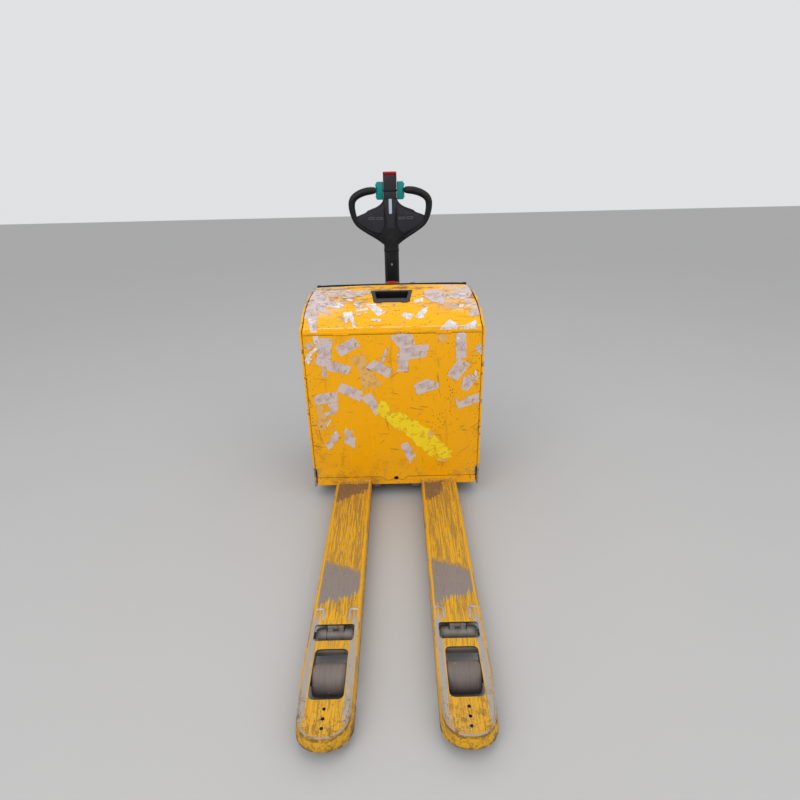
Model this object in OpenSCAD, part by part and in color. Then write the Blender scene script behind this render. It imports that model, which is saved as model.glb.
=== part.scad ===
// Pedestrian electric pallet truck with a tall battery box, hinged lid and tiller.
// Origin: middle of the footprint on the floor. +Y points to the tiller, -Y to the fork tips.

/* [Battery box] */
// Width over the side plates
body_w = 720; // [700:1:740]
// Distance from the origin to the outer face of the front panel
face_y = 290; // [285:1:295]
// Depth of the battery box behind its face
box_depth = 235; // [232:1:238]
// Height of the seam between front panel and lid
seam_z = 751; // [748:1:754]
// Thickness of the side plates
side_t = 8; // [6:0.5:9]

/* [Forks] */
// Distance over the outside of both forks
fork_spread = 520; // [500:1:560]
// Width of one fork
fork_w = 150; // [146:1:156]
// Length of the forks in front of the box
fork_len = 1140; // [1100:5:1145]
// Height of the lowered fork top
fork_h = 85; // [84:0.5:88]

/* [Wheels] */
// Diameter of the load rollers
roller_d = 84; // [78:1:84]
// Width of the load rollers
roller_w = 96; // [80:1:97]
// Diameter of the drive wheel
drive_d = 230; // [200:2:232]
// Width of the drive wheel
drive_w = 70; // [60:1:76]
// Diameter of the stabiliser caster wheels
caster_d = 90; // [80:1:94]

/* [Tiller] */
// Height of the top of the tiller head
tiller_top = 1322; // [1315:1:1330]
// Width of the tiller arm
arm_w = 66; // [60:1:70]
// Width over the two handle loops
loop_w = 370; // [350:1:380]

/* [Hidden] */
$fn = 64;
fit = 0.05;
half_w = body_w / 2;
back_y = face_y + box_depth;
fork_x = (fork_spread - fork_w) / 2;
tip_y = face_y - fork_len;
yellow = [0.93, 0.66, 0.02];
steel = [0.45, 0.44, 0.43];
plastic = [0.09, 0.09, 0.10];

// Steering axis and tiller pivot
steer_y = 710;
pivot_y = 810;
pivot_z = 420;

// Fork channel and its openings, measured from the fork's own centre line
fork_deck = 6;
fork_side = 5;
fork_skirt_z = 25;
heel_step = 1;
nose_r = 70;
nose_foot = 38;
roller_y = -654;
roller_r = roller_d / 2;
window_w = 94;
window_y = [-743, -587];
small_window_w = 118;
small_window_y = [-558, -499];
tip_holes_y = [-769, -795, -820];

// Bell crank geometry: load-wheel arm under the fork and an equal rocker in the heel
crank_y = -500;
crank_z = 40;
crank_pin = [11.8, 24.8];
rocker_y = 480;
rocker_reach = crank_y - roller_y;
pin_r = 10;
rod_pin_r = 7;

// Lid and side plate outline: depth behind the face, height
lid_curve = [[0, 780], [30, 812], [70, 840], [120, 862], [200, 882], [218, 885]];
// Half outline of the box seen from the front: outer and inner edge of the side plates
box_edge = [[half_w, 56], [half_w, 770], [352, 790], [350, 830], [340, 865], [330, 880], [320, 892]];
inner_edge = [[half_w - side_t, 56], [half_w - side_t, 768], [344, 788], [342, 829], [333, 861],
  [326, 876], [320, 892]];
cup_slope = 17.8;
cup_mid = [face_y + 130, 862.2];

// Skirt, hood and tiller head
hood_x = 350;
hood_y = 548;
skirt_top = 340;
rear_y = 850;
wall = 5;
cylinder_y = 585;
caster_x = 272;
caster_trail = 22;
head_z = 1000;
thumb_z = 1245.5;

module at_fork(side) { translate([side * fork_x, 0, 0]) children(); }

module box(x, y, z) {
  translate([x[0], y[0], z[0]])
    cube([x[1] - x[0], y[1] - y[0], z[1] - z[0]]);
}

module round_rect(x, y, r) {
  translate([x[0] + r, y[0]]) square([x[1] - x[0] - 2 * r, y[1] - y[0]]);
  translate([x[0], y[0] + r]) square([x[1] - x[0], y[1] - y[0] - 2 * r]);
  for (cx = [x[0] + r, x[1] - r], cy = [y[0] + r, y[1] - r])
    translate([cx, cy]) circle(r);
}

module slab(z) { translate([0, 0, z[0]]) linear_extrude(z[1] - z[0]) children(); }

// Extrudes a 2D outline drawn as (y, z) along X between two x values
module along_x(x) {
  translate([x[0], 0, 0]) rotate([90, 0, 90]) linear_extrude(x[1] - x[0]) children();
}

// Extrudes a 2D outline drawn as (x, z) along Y between two y values
module along_y(y) {
  translate([0, y[1], 0]) rotate([90, 0, 0]) linear_extrude(y[1] - y[0]) children();
}

module rod_x(x, y, z, r) {
  translate([x[0], y, z]) rotate([0, 90, 0]) cylinder(h = x[1] - x[0], r = r);
}

module rod_z(x, y, z, r) { translate([x, y, z[0]]) cylinder(h = z[1] - z[0], r = r); }

// ---------- Forks and the running gear under them ----------

// The fork's outline with a round nose that leans back at its top and starts at height foot;
// inset and drop shrink it for the hollow inside
module fork_block(inset, z, drop, foot) {
  heel_y = back_y - 20 + inset;
  intersection() {
    slab(z)
      round_rect([-fork_w / 2 + inset, fork_w / 2 - inset], [tip_y + inset, back_y + 80], nose_r - inset);
    along_x([-fork_w, fork_w])
      polygon([[tip_y + 180, 0], [tip_y - 1, foot], [tip_y - 1, 58 - drop], [tip_y + 9, fork_h - drop],
        [tip_y + 11, fork_h + 5], [heel_y, fork_h + 5], [heel_y, 0]]);
  }
}

module fork(side) {
  deck_cut = [fork_h - 20, fork_h + 1];
  color(yellow) at_fork(side) difference() {
    fork_block(0, [fork_skirt_z, fork_h], 0, nose_foot);
    fork_block(fork_side, [1, fork_h - fork_deck], 8, 0);
    slab(deck_cut) round_rect([-window_w / 2, window_w / 2], window_y, 12);
    slab(deck_cut) round_rect([-small_window_w / 2, small_window_w / 2], small_window_y, 8);
    for (y = tip_holes_y) rod_z(0, y, deck_cut, 4.25);
    box([-fork_w, fork_w], [face_y - 1, back_y + 80], [fork_h - heel_step, fork_h + 1]);
    rod_x([-fork_w, fork_w], crank_y, crank_z, pin_r);
    rod_x([-fork_w, fork_w], rocker_y, crank_z, 12.5 + fit);
  }
}

module fork_left() { fork(-1); }
module fork_right() { fork(1); }

module arm_pivot_pins() {
  color(steel) for (side = [-1, 1]) at_fork(side)
    rod_x([-fork_w / 2 + 0.5, fork_w / 2 - 0.5], crank_y, crank_z, pin_r);
}

// One crank cheek: a bar between two points of the YZ plane with round ends
module link(x, from, to, r_from, r_to) {
  along = (to - from) / norm(to - from);
  half = (min(r_from, r_to) - 1) * [-along[1], along[0]];
  along_x(x) {
    translate(from) circle(r_from);
    translate(to) circle(r_to);
    polygon([from + half, to + half, to - half, from - half]);
  }
}

module wheel_arm(side) {
  hub = [crank_y, crank_z];
  axle = [roller_y, roller_r];
  color(steel) at_fork(side) {
    difference() {
      union() {
        for (x = [[-59, -51], [51, 59]]) link(x, hub, axle, 18, 15);
        rod_x([-52, 52], hub[0], hub[1], 16);
        for (x = [[-52, -28], [28, 52]]) rod_x(x, hub[0], hub[1], 21);
        for (x = [[-24, -9], [9, 24]]) link(x, hub, hub + crank_pin, 15, 10.5);
        box([-52, 52], [-570, -530], [36, 50]);
      }
      rod_x([-60, 60], hub[0], hub[1], pin_r + fit);
    }
    rod_x([-17.9, 17.9], hub[0] + crank_pin[0], hub[1] + crank_pin[1], rod_pin_r);
    rod_x([-52, 52], axle[0], axle[1], pin_r);
  }
}

module wheel_arm_left() { wheel_arm(-1); }
module wheel_arm_right() { wheel_arm(1); }

module load_roller(side) {
  color([0.36, 0.31, 0.28]) at_fork(side)
    translate([-roller_w / 2, roller_y, roller_r]) rotate([0, 90, 0]) rotate_extrude()
      polygon([[pin_r + fit, 0], [30, 0], [32, 3], [roller_r - 3, 3], [roller_r, 6],
        [roller_r, roller_w - 6], [roller_r - 3, roller_w - 3], [32, roller_w - 3],
        [30, roller_w], [pin_r + fit, roller_w]]);
}

module load_roller_left() { load_roller(-1); }
module load_roller_right() { load_roller(1); }

module push_rod(side) {
  front = crank_y + crank_pin[0];
  rear = rocker_y + crank_pin[0];
  z = crank_z + crank_pin[1];
  color(steel) at_fork(side) difference() {
    union() {
      for (y = [front, rear]) rod_x([-8, 8], y, z, 10.8);
      translate([0, front + 8, z]) rotate([-90, 0, 0]) cylinder(h = rear - front - 16, r = 7);
    }
    rod_x([-20, 20], front, z, rod_pin_r + fit);
    rod_x([-20, 20], rear, z, rod_pin_r + 1.2);
  }
}

module push_rod_left() { push_rod(-1); }
module push_rod_right() { push_rod(1); }

module rocker(side) {
  hub = [rocker_y, crank_z];
  tip = [rocker_y - rocker_reach, roller_r];
  inner_x = 92 - fork_x;
  color(steel) at_fork(side) mirror([side < 0 ? 1 : 0, 0, 0]) {
    rod_x([inner_x + 2, fork_w / 2 - 1], hub[0], hub[1], 12.5);
    link([inner_x, inner_x + 12], hub, tip, 16, 10);
    rod_x([inner_x - 22, inner_x + 4], tip[0], tip[1], 12);
    for (x = [[-18, -9], [9, 18]]) link(x, hub, hub + crank_pin, 14, 10.5);
    rod_x([-17.9, 17.9], hub[0] + crank_pin[0], hub[1] + crank_pin[1], rod_pin_r);
  }
}

module rocker_left() { rocker(-1); }
module rocker_right() { rocker(1); }

// ---------- Battery box ----------

module heel_beam() {
  color(yellow) {
    difference() {
      box([-345, 345], [face_y, face_y + 10], [65, 101.5]);
      for (side = [-1, 1]) at_fork(side)
        box([-fork_w / 2, fork_w / 2], [face_y - 1, back_y], [0, fork_h - heel_step]);
      box([-90, 90], [face_y - 1, face_y + 6], [83, 110]);
      translate([0, face_y, 94]) rotate([90, 0, 0]) cylinder(h = 40, r = 6, center = true);
    }
    for (side = [-1, 1]) at_fork(side)
      box([-fork_w / 2, fork_w / 2], [face_y + 10, back_y - 20], [fork_h - heel_step, 101.5]);
    box([-fork_x + fork_w / 2, fork_x - fork_w / 2], [face_y + 10, face_y + 24], [74, 101.5]);
  }
}

module front_panel() {
  color(yellow) difference() {
    union() {
      box([-350, 350], [face_y, face_y + 6], [101.5, seam_z]);
      box([-90, 90], [face_y, face_y + 6], [83, 101.5]);
    }
    translate([0, face_y, 94]) rotate([90, 0, 0]) cylinder(h = 40, r = 6, center = true);
    for (side = [-1, 1]) box([side * 347.5 - 2.5, side * 347.5 + 2.5], [face_y - 1, face_y + 7], [100, 140]);
  }
}

module half_outline(points) { polygon(concat(points, [[0, points[6][1]], [0, points[0][1]]])); }

// Both halves of an outline given by its right half, from bottom to top
module full_outline(points) {
  last = len(points) - 1;
  polygon(concat(points, [for (i = [last : -1 : 0]) if (points[i][0] > 0) [-points[i][0], points[i][1]]]));
}

module side_plate(side) {
  color(yellow) mirror([side < 0 ? 1 : 0, 0, 0]) intersection() {
    along_x([300, half_w])
      polygon(concat([[face_y, 56]], [for (p = lid_curve) [face_y + p[0], p[1]]],
        [[back_y, 885], [back_y, 56]]));
    along_y([face_y, back_y]) difference() {
      half_outline(box_edge);
      half_outline(inner_edge);
    }
  }
}

module side_plate_left() { side_plate(-1); }
module side_plate_right() { side_plate(1); }

module back_wall() {
  color(yellow) box([-351, 351], [back_y - 6, back_y], [107.5, 735]);
}

module battery_tray() {
  color(plastic) difference() {
    box([-348, 348], [face_y + 6, back_y - 6.2], [101.5, 125]);
    box([-342, 342], [face_y + 9, back_y - 9], [107.5, 130]);
  }
}

module battery_case() {
  columns = 6;
  rows = 2;
  color([0.13, 0.13, 0.14]) {
    difference() {
      box([-312, 312], [face_y + 11, back_y - 11], [107.5, 705]);
      box([-306, 306], [face_y + 17, back_y - 17], [690, 706]);
    }
    for (i = [0 : columns - 1], j = [0 : rows - 1]) {
      x = (i - (columns - 1) / 2) * 100;
      y = (face_y + back_y) / 2 + (j - 0.5) * 96;
      box([x - 47, x + 47], [y - 45, y + 45], [690, 702]);
      rod_z(x - 22, y, [702, 712], 14);
    }
  }
}

// Bridges between the posts of the two rows of cells
module battery_cables() {
  y = (face_y + back_y) / 2;
  color([0.5, 0.06, 0.05]) for (x = [28, 228]) translate([x, y, 712]) {
    rod_z(0, -48, [0, 6], 11);
    rod_z(0, 48, [0, 6], 11);
    translate([0, 0, 6]) rotate([90, 0, 90]) scale(0.5)
      rotate_extrude(angle = 180) translate([96, 0]) circle(12);
  }
}

module lift_bracket() {
  color(steel) {
    box([-35, 35], [back_y, cylinder_y + 26], [560, 574]);
    for (x = [-35, 27]) along_x([x, x + 8])
      polygon([[back_y, 574], [cylinder_y, 574], [back_y, 660]]);
  }
}

module lift_piston_rod() { color([0.75, 0.75, 0.77]) rod_z(0, cylinder_y, [265, 560], 17.5); }

hinge_axis = [face_y - 3, seam_z + 0.7];

module hinge_leaf(up) {
  knuckles = up ? [[-10, 10]] : [[-30, -10.3], [10.3, 30]];
  leaf_y = face_y + (up ? 4 : 6);
  leaf_z = up ? [hinge_axis[1] - 0.4, seam_z + 24] : [seam_z - 30, hinge_axis[1] + 0.4];
  for (side = [-1, 1]) translate([side * 200, 0, 0]) {
    for (x = knuckles) {
      difference() {
        union() {
          rod_x(x, hinge_axis[0], hinge_axis[1], 2.4);
          box(x, [hinge_axis[0], leaf_y + 1], [hinge_axis[1] - 0.4, hinge_axis[1] + 0.4]);
        }
        rod_x([x[0] - 1, x[1] + 1], hinge_axis[0], hinge_axis[1], 1.2 + (up ? fit : 0));
      }
      box(x, [leaf_y, leaf_y + 1.5], leaf_z);
    }
    if (!up) rod_x([-30, 30], hinge_axis[0], hinge_axis[1], 1.2);
  }
}

module lid_hinge_lower() { color(steel) hinge_leaf(false); }
module lid_hinge_upper() { color(steel) hinge_leaf(true); }

// ---------- Lid ----------

module cup_outline(grow) {
  polygon([[-70 - grow, -44 - grow], [70 + grow, -44 - grow], [85 + grow, 44 + grow],
    [-85 - grow, 44 + grow]]);
}

module in_cup_frame() { translate([0, cup_mid[0], cup_mid[1]]) rotate([cup_slope, 0, 0]) children(); }

module lid_shell() {
  inner = [for (i = [len(lid_curve) - 1 : -1 : 0])
    [face_y + lid_curve[i][0] + (i < 3 ? 3.4 : 1.2), lid_curve[i][1] - (i < 1 ? 0.6 : 4)]];
  color(yellow) difference() {
    intersection() {
      along_x([-345, 345])
        polygon(concat([[face_y, seam_z + 1.5]], [for (p = lid_curve) [face_y + p[0], p[1]]], inner,
          [[face_y + 4, seam_z + 1.5]]));
      along_y([face_y - 1, back_y]) full_outline([for (p = inner_edge) [p[0] - 2.5, p[1]]]);
    }
    in_cup_frame() slab([-20, 20]) cup_outline(0);
  }
}

module lid_grip_cup() {
  color(plastic) in_cup_frame() difference() {
    slab([-30, 2]) cup_outline(0);
    slab([-27, 3]) cup_outline(-4);
  }
}

// ---------- Drive section ----------

module chassis_frame() {
  color([0.2, 0.2, 0.21]) difference() {
    union() {
      box([-330, 330], [535, 545], [58, 850]);
      box([-330, 330], [544, 560], [262, 272]);
      slab([262, 272]) skirt_outline(wall + 1);
      for (side = [-1, 1]) {
        mirror([side < 0 ? 1 : 0, 0, 0]) {
          box([64, 88], [312, 536], [58, 72]);
          rod_z(caster_x, steer_y, [110, 263], 22);
          box([caster_x - 5, caster_x + 5], [545, steer_y], [150, 263]);
        }
      }
    }
    box([-45, 45], [530, 550], [545, 785]);
    rod_z(0, steer_y, [250, 280], 86.5);
    rod_z(0, cylinder_y, [250, 280], 27);
    for (side = [-1, 1]) rod_z(side * caster_x, steer_y, [100, 170], pin_r + fit);
  }
}

module slewing_ring() {
  color(steel) difference() {
    rod_z(0, steer_y, [272, 292], 97);
    rod_z(0, steer_y, [270, 294], 85);
  }
}

module skirt_outline(inset) {
  difference() {
    round_rect([-hood_x + inset, hood_x - inset], [400, rear_y - inset], 120 - inset);
    translate([-400, 0]) square([800, hood_y]);
  }
}

module skirt_cover() {
  color(plastic) difference() {
    slab([60, skirt_top]) skirt_outline(0);
    slab([50, skirt_top - wall]) skirt_outline(wall);
    slab([50, skirt_top - wall]) translate([-hood_x + wall, hood_y - 1]) square([2 * (hood_x - wall), 20]);
    rod_z(0, steer_y, [300, 350], 154);
    box([104, 206], [549, 632], [300, 350]);
  }
}

module hood_profile(inset) {
  polygon([[hood_y - inset, skirt_top - inset], [hood_y - inset, 885 - inset], [554, 885 - inset],
    [560, 868 - inset], [665 - inset, 840 - inset], [665 - inset, 660], [640 - inset, 610],
    [640 - inset, skirt_top - inset]]);
}

// Half outline of the hood seen from behind, narrowing to its top edge
function hood_edge(inset) = [[hood_x - inset, skirt_top - 10], [hood_x - inset, 780 - inset / 2],
  [hood_x - 14 - inset, 845 - inset / 2], [312 - inset, 885]];

module hood_solid(inset) {
  intersection() {
    along_x([-hood_x, hood_x]) hood_profile(inset);
    along_y([hood_y - 10, 700]) full_outline(hood_edge(inset));
  }
}

module hood_tower() {
  color(plastic) difference() {
    union() {
      difference() {
        hood_solid(0);
        hood_solid(wall);
      }
      intersection() {
        rod_z(0, steer_y, [skirt_top, 615], 87);
        box([-90, 90], [hood_y, 639], [skirt_top, 615]);
      }
    }
    rod_z(0, steer_y, [skirt_top - 1, 610], 82);
    rod_z(0, 600, [840, 880], 20);
    rod_z(90, 615, [830, 880], 11);
  }
}

module hood_screws() {
  color(steel) for (side = [-1, 1], z = [400, 560, 760])
    rod_x([side > 0 ? hood_x : -hood_x - 3, side > 0 ? hood_x + 3 : -hood_x], 600, z, 7);
}

module console_panel() {
  color([0.05, 0.05, 0.06]) {
    difference() {
      along_x([-150, 150]) polygon([[566, 866.4], [566, 870.4], [658, 845.9], [658, 841.9]]);
      rod_z(0, 600, [830, 880], 36);
      rod_z(90, 615, [830, 880], 11);
    }
    along_x([-130, -60]) polygon([[585, 865.4], [586, 872], [632, 859.6], [632, 852.9]]);
    difference() {
      rod_z(90, 615, [838, 862], 11);
      rod_z(90, 615, [837, 863], 5.5 + fit);
    }
  }
}

module estop_collar() {
  color([0.85, 0.7, 0.05]) difference() {
    rod_z(0, 600, [835, 866], 20);
    rod_z(0, 600, [834, 867], 6 + fit);
  }
}

module estop_knob() {
  color([0.7, 0.05, 0.06]) {
    rod_z(0, 600, [838, 873], 6);
    translate([0, 600, 871.5]) rotate_extrude()
      polygon([[0, 0], [30, 0], [33, 3], [33, 8], [28, 13.5], [18, 16.5], [0, 16.5]]);
  }
}

module ignition_key() {
  color([0.6, 0.6, 0.62]) {
    rod_z(90, 615, [840, 868], 5.5);
    box([88.5, 91.5], [604, 626], [868, 888]);
  }
}

module hydraulic_tank() {
  color([0.75, 0.75, 0.72]) {
    box([-310, -110], [552, 628], [360, 500]);
    rod_z(-270, 590, [500, 516], 16);
  }
}

module hydraulic_pump() {
  color([0.3, 0.3, 0.32]) {
    box([110, 200], [556, 626], [282, 345]);
    rod_z(165, 592, [345, 520], 34);
    rod_z(165, 592, [520, 528], 20);
  }
}

module hydraulic_hose() {
  color([0.05, 0.05, 0.05]) {
    translate([87, 585, 360]) rotate([90, 0, 0]) rotate_extrude(angle = 180)
      translate([34, 0]) circle(6);
    rod_z(121, 585, [345, 360], 6);
    rod_z(53, 585, [350, 360], 6);
  }
}

module lift_cylinder() {
  color([0.35, 0.35, 0.37]) difference() {
    union() {
      rod_z(0, cylinder_y, [250, 500], 27);
      box([20, 62], [572, 598], [325, 350]);
    }
    rod_z(0, cylinder_y, [258, 501], 17.5 + fit);
  }
}

module motor_controller() {
  color([0.55, 0.56, 0.58]) {
    box([110, 290], [545, 560], [580, 800]);
    for (k = [0 : 8]) box([118 + k * 20, 124 + k * 20], [560, 590], [590, 790]);
  }
}

// ---------- Steered drive unit ----------

module gearbox() {
  color([0.4, 0.4, 0.42]) difference() {
    union() {
      rod_z(0, steer_y, [240, 300], 85 - fit);
      box([-84, -46], [steer_y - 45, steer_y + 45], [115, 250]);
      rod_x([-84, -46], steer_y, drive_d / 2, 45);
    }
    rod_x([-80, -40], steer_y, drive_d / 2, 17.5 + fit);
  }
}

module drive_motor() {
  color([0.15, 0.15, 0.16]) {
    rod_z(0, steer_y, [300, 520], 70);
    rod_z(0, steer_y, [520, 565], 52);
  }
}

module motor_cover() {
  color(plastic) translate([0, steer_y, 0]) rotate_extrude()
    polygon([[72, 322], [76, 322], [76, 560], [70, 584], [50, 600], [0, 604], [0, 600], [49, 596],
      [66, 581], [72, 559]]);
}

module tiller_yoke() {
  color([0.22, 0.22, 0.23]) difference() {
    union() {
      rod_z(0, steer_y, [300, 318], 84);
      box([-50, 50], [steer_y, pivot_y + 34], [300, 318]);
      for (x = [[-50, -37], [37, 50]]) {
        box(x, [pivot_y - 22, pivot_y + 22], [318, pivot_z]);
        rod_x(x, pivot_y, pivot_z, 22);
      }
    }
    rod_z(0, steer_y, [299, 320], 70);
    rod_x([-60, 60], pivot_y, pivot_z, pin_r);
  }
}

module tiller_pivot_pin() {
  color(steel) rod_x([-56, 56], pivot_y, pivot_z, pin_r);
}

module drive_hub() {
  color(steel) {
    rod_x([-drive_w / 2, drive_w / 2], steer_y, drive_d / 2, 90);
    rod_x([-78, -drive_w / 2], steer_y, drive_d / 2, 17.5);
    for (k = [0 : 4]) translate([0, steer_y, drive_d / 2]) rotate([k * 72, 0, 0])
      rod_x([drive_w / 2 - 2, drive_w / 2 + 8], 50, 0, 9, $fn = 6);
  }
}

module drive_tyre() {
  r = drive_d / 2;
  color([0.08, 0.08, 0.08]) translate([-drive_w / 2, steer_y, r]) rotate([0, 90, 0])
    rotate_extrude() polygon([[90, 0], [r - 4, 0], [r, 4], [r, drive_w - 4], [r - 4, drive_w],
      [90, drive_w]]);
}

// ---------- Stabiliser casters ----------

module caster_fork(side) {
  color(steel) translate([side * caster_x, steer_y, 0]) {
    rod_z(0, 0, [101, 165], pin_r);
    rod_z(0, 0, [101, 109.5], 17);
    box([-25, 25], [-24, 24], [96, 102]);
    for (x = [[-25, -21], [21, 25]]) box(x, [-10, caster_trail + 12], [34, 97]);
    rod_x([-23, 23], caster_trail, caster_d / 2, 6);
  }
}

module caster_fork_left() { caster_fork(-1); }
module caster_fork_right() { caster_fork(1); }

module caster_wheel(side) {
  r = caster_d / 2;
  color([0.1, 0.1, 0.1]) translate([side * caster_x - 18, steer_y + caster_trail, r])
    rotate([0, 90, 0]) rotate_extrude()
      polygon([[6 + fit, 0], [20, 0], [24, 5], [36, 5], [r - 4, 2], [r, 8], [r, 28], [r - 4, 34],
        [36, 31], [24, 31], [20, 36], [6 + fit, 36]]);
}

module caster_wheel_left() { caster_wheel(-1); }
module caster_wheel_right() { caster_wheel(1); }

// ---------- Tiller ----------

module tiller_arm() {
  color([0.12, 0.12, 0.13]) difference() {
    union() {
      rod_x([-arm_w / 2, arm_w / 2], pivot_y, pivot_z, 22.4);
      slab([pivot_z, head_z])
        round_rect([-arm_w / 2, arm_w / 2], [pivot_y - 22.4, pivot_y + 22.4], 12);
    }
    rod_x([-60, 60], pivot_y, pivot_z, pin_r + fit);
  }
}

// Front outline of the tiller head: neck, V-shaped wings and the block under the snout
head_half = [[0, 1000], [33.5, 1000], [33.5, 1026], [60, 1052], [112, 1080], [150, 1104], [166, 1120],
  [152, 1136], [145, 1140], [109, 1159], [52, 1185], [44, 1196], [29, 1205], [29, 1214], [0, 1214]];

module head_shell() {
  color(plastic) difference() {
    along_y([pivot_y - 24, pivot_y + 24]) full_outline(head_half);
    for (x = [-85, 85]) box([x - 13.5, x + 13.5], [pivot_y + 18, pivot_y + 30], [1117.5, 1142.5]);
    box([-13.5, 13.5], [pivot_y + 18, pivot_y + 30], [1087.5, 1112.5]);
  }
}

loop_r = 14.7;
loop_out = loop_w / 2 - loop_r - 0.3;
loop_path = [[72, 1243], [loop_out - 18, 1222], [loop_out, 1200], [loop_out, 1150], [loop_out - 12, 1122]];

module loop_side() {
  for (i = [0 : len(loop_path) - 2]) {
    a = loop_path[i];
    b = loop_path[i + 1];
    translate([a[0], pivot_y, a[1]]) rotate([0, 90 - atan2(b[1] - a[1], b[0] - a[0]), 0])
      cylinder(h = norm(b - a), r = loop_r);
    if (i > 0) translate([a[0], pivot_y, a[1]]) sphere(loop_r + 0.3);
  }
}

module handle_loop() {
  color(plastic) difference() {
    union() {
      loop_side();
      mirror([1, 0, 0]) loop_side();
    }
    along_y([pivot_y - 24, pivot_y + 24]) full_outline(head_half);
  }
}

module snout_housing() {
  color(plastic) difference() {
    slab([1214, tiller_top - 16]) round_rect([-29, 29], [pivot_y - 26, pivot_y + 26], 6);
    box([-21, 21], [pivot_y - 18, pivot_y + 18], [tiller_top - 34, tiller_top]);
    rod_x([-40, 40], pivot_y, thumb_z, 4 + fit);
  }
}

module reverse_button() {
  color([0.7, 0.08, 0.1]) {
    slab([tiller_top - 10.5, tiller_top]) round_rect([-29, 29], [pivot_y - 26, pivot_y + 26], 6);
    box([-20.5, 20.5], [pivot_y - 17.5, pivot_y + 17.5], [tiller_top - 26, tiller_top - 10.5]);
  }
}

module thumb_wheels() {
  profile = [[-14, -10], [-9, -37], [9, -37], [14, -10], [14, 10], [9, 37], [-9, 37], [-14, 10]];
  color([0, 0.5, 0.46]) {
    for (x = [[-68, -30], [30, 68]]) along_x(x)
      polygon([for (p = profile) [pivot_y + p[0], thumb_z + p[1]]]);
    rod_x([-30, 30], pivot_y, thumb_z, 4);
  }
}

module rear_button(x, z, tone) {
  color(tone) box([x - 13, x + 13], [pivot_y + 20.5, pivot_y + 28], [z - 12, z + 12]);
}

module horn_button() { rear_button(0, 1100, [0.75, 0.6, 0.05]); }
module lift_button() { rear_button(85, 1130, [0.3, 0.3, 0.32]); }
module lower_button() { rear_button(-85, 1130, [0.3, 0.3, 0.32]); }

chassis_frame();
skirt_cover();
hood_tower();
hood_screws();
console_panel();
estop_collar();
hydraulic_tank();
hydraulic_pump();
hydraulic_hose();
lift_cylinder();
motor_controller();
slewing_ring();
fork_left();
fork_right();
heel_beam();
front_panel();
side_plate_left();
side_plate_right();
back_wall();
battery_tray();
battery_case();
battery_cables();
lift_bracket();
lift_piston_rod();
lid_hinge_lower();
arm_pivot_pins();
lid_shell();
lid_grip_cup();
lid_hinge_upper();
gearbox();
drive_motor();
motor_cover();
tiller_yoke();
tiller_pivot_pin();
drive_hub();
drive_tyre();
tiller_arm();
head_shell();
handle_loop();
snout_housing();
thumb_wheels();
reverse_button();
horn_button();
lift_button();
lower_button();
estop_knob();
ignition_key();
caster_fork_left();
caster_fork_right();
caster_wheel_left();
caster_wheel_right();
wheel_arm_left();
wheel_arm_right();
load_roller_left();
load_roller_right();
push_rod_left();
push_rod_right();
rocker_left();
rocker_right();
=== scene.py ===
"""Pedestrian electric pallet truck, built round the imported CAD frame.

Lengths are in metres in the frame's own axes: +Z up, +Y to the tiller, forks along -Y.
"""
import math
import random

import bmesh
import bpy
from mathutils import Matrix, Vector, noise


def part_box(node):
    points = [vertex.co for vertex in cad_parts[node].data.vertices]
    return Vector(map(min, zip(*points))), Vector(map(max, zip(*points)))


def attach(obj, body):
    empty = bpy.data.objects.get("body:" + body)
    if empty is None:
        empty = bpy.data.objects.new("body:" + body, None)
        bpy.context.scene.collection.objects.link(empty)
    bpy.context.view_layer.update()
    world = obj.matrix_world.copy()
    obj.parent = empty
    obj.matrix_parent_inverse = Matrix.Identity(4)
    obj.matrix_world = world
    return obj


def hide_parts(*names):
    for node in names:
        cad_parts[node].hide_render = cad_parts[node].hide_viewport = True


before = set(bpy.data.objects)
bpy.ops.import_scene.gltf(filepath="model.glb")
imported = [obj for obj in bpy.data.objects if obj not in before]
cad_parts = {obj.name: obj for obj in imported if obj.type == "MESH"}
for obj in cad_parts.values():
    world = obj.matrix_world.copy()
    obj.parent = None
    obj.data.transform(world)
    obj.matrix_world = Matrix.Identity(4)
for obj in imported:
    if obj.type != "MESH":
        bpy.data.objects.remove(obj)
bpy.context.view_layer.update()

MM = 0.001
SIDES = ((-1, "left"), (1, "right"))
PANEL_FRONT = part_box("front_panel")[0][1]
PANEL_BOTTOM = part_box("heel_beam")[1][2]
SEAM_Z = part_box("front_panel")[1][2]
BODY_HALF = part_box("side_plate_right")[1][0]
BODY_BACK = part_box("side_plate_right")[1][1]
BODY_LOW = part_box("side_plate_right")[0][2]
LID_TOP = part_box("lid_shell")[1][2]
PLATE_T = 8 * MM
FORK_LOW, FORK_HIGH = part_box("fork_right")
FORK_X = (FORK_LOW[0] + FORK_HIGH[0]) / 2
FORK_HALF = (FORK_HIGH[0] - FORK_LOW[0]) / 2
FORK_TOP = FORK_HIGH[2]
TIP_Y = FORK_LOW[1]
ROLLER_LOW, ROLLER_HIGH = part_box("load_roller_right")
ARM_LOW, ARM_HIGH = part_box("tiller_arm")
ARM_Y = (ARM_LOW[1] + ARM_HIGH[1]) / 2
HEAD_LOW, HEAD_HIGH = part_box("head_shell")
WHEELS_LOW, WHEELS_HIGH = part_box("thumb_wheels")
THUMB_Z = (WHEELS_LOW[2] + WHEELS_HIGH[2]) / 2
TILLER_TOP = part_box("reverse_button")[1][2]


# ---------- Mesh helpers ----------

def add_object(name, mesh):
    obj = bpy.data.objects.new(name, mesh)
    bpy.context.scene.collection.objects.link(obj)
    return obj


def shade(obj, smooth_angle=35):
    """Smooth shading, with edges sharper than the angle kept sharp."""
    mesh = obj.data
    mesh.polygons.foreach_set("use_smooth", [True] * len(mesh.polygons))
    mesh.set_sharp_from_angle(angle=math.radians(smooth_angle))


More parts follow.
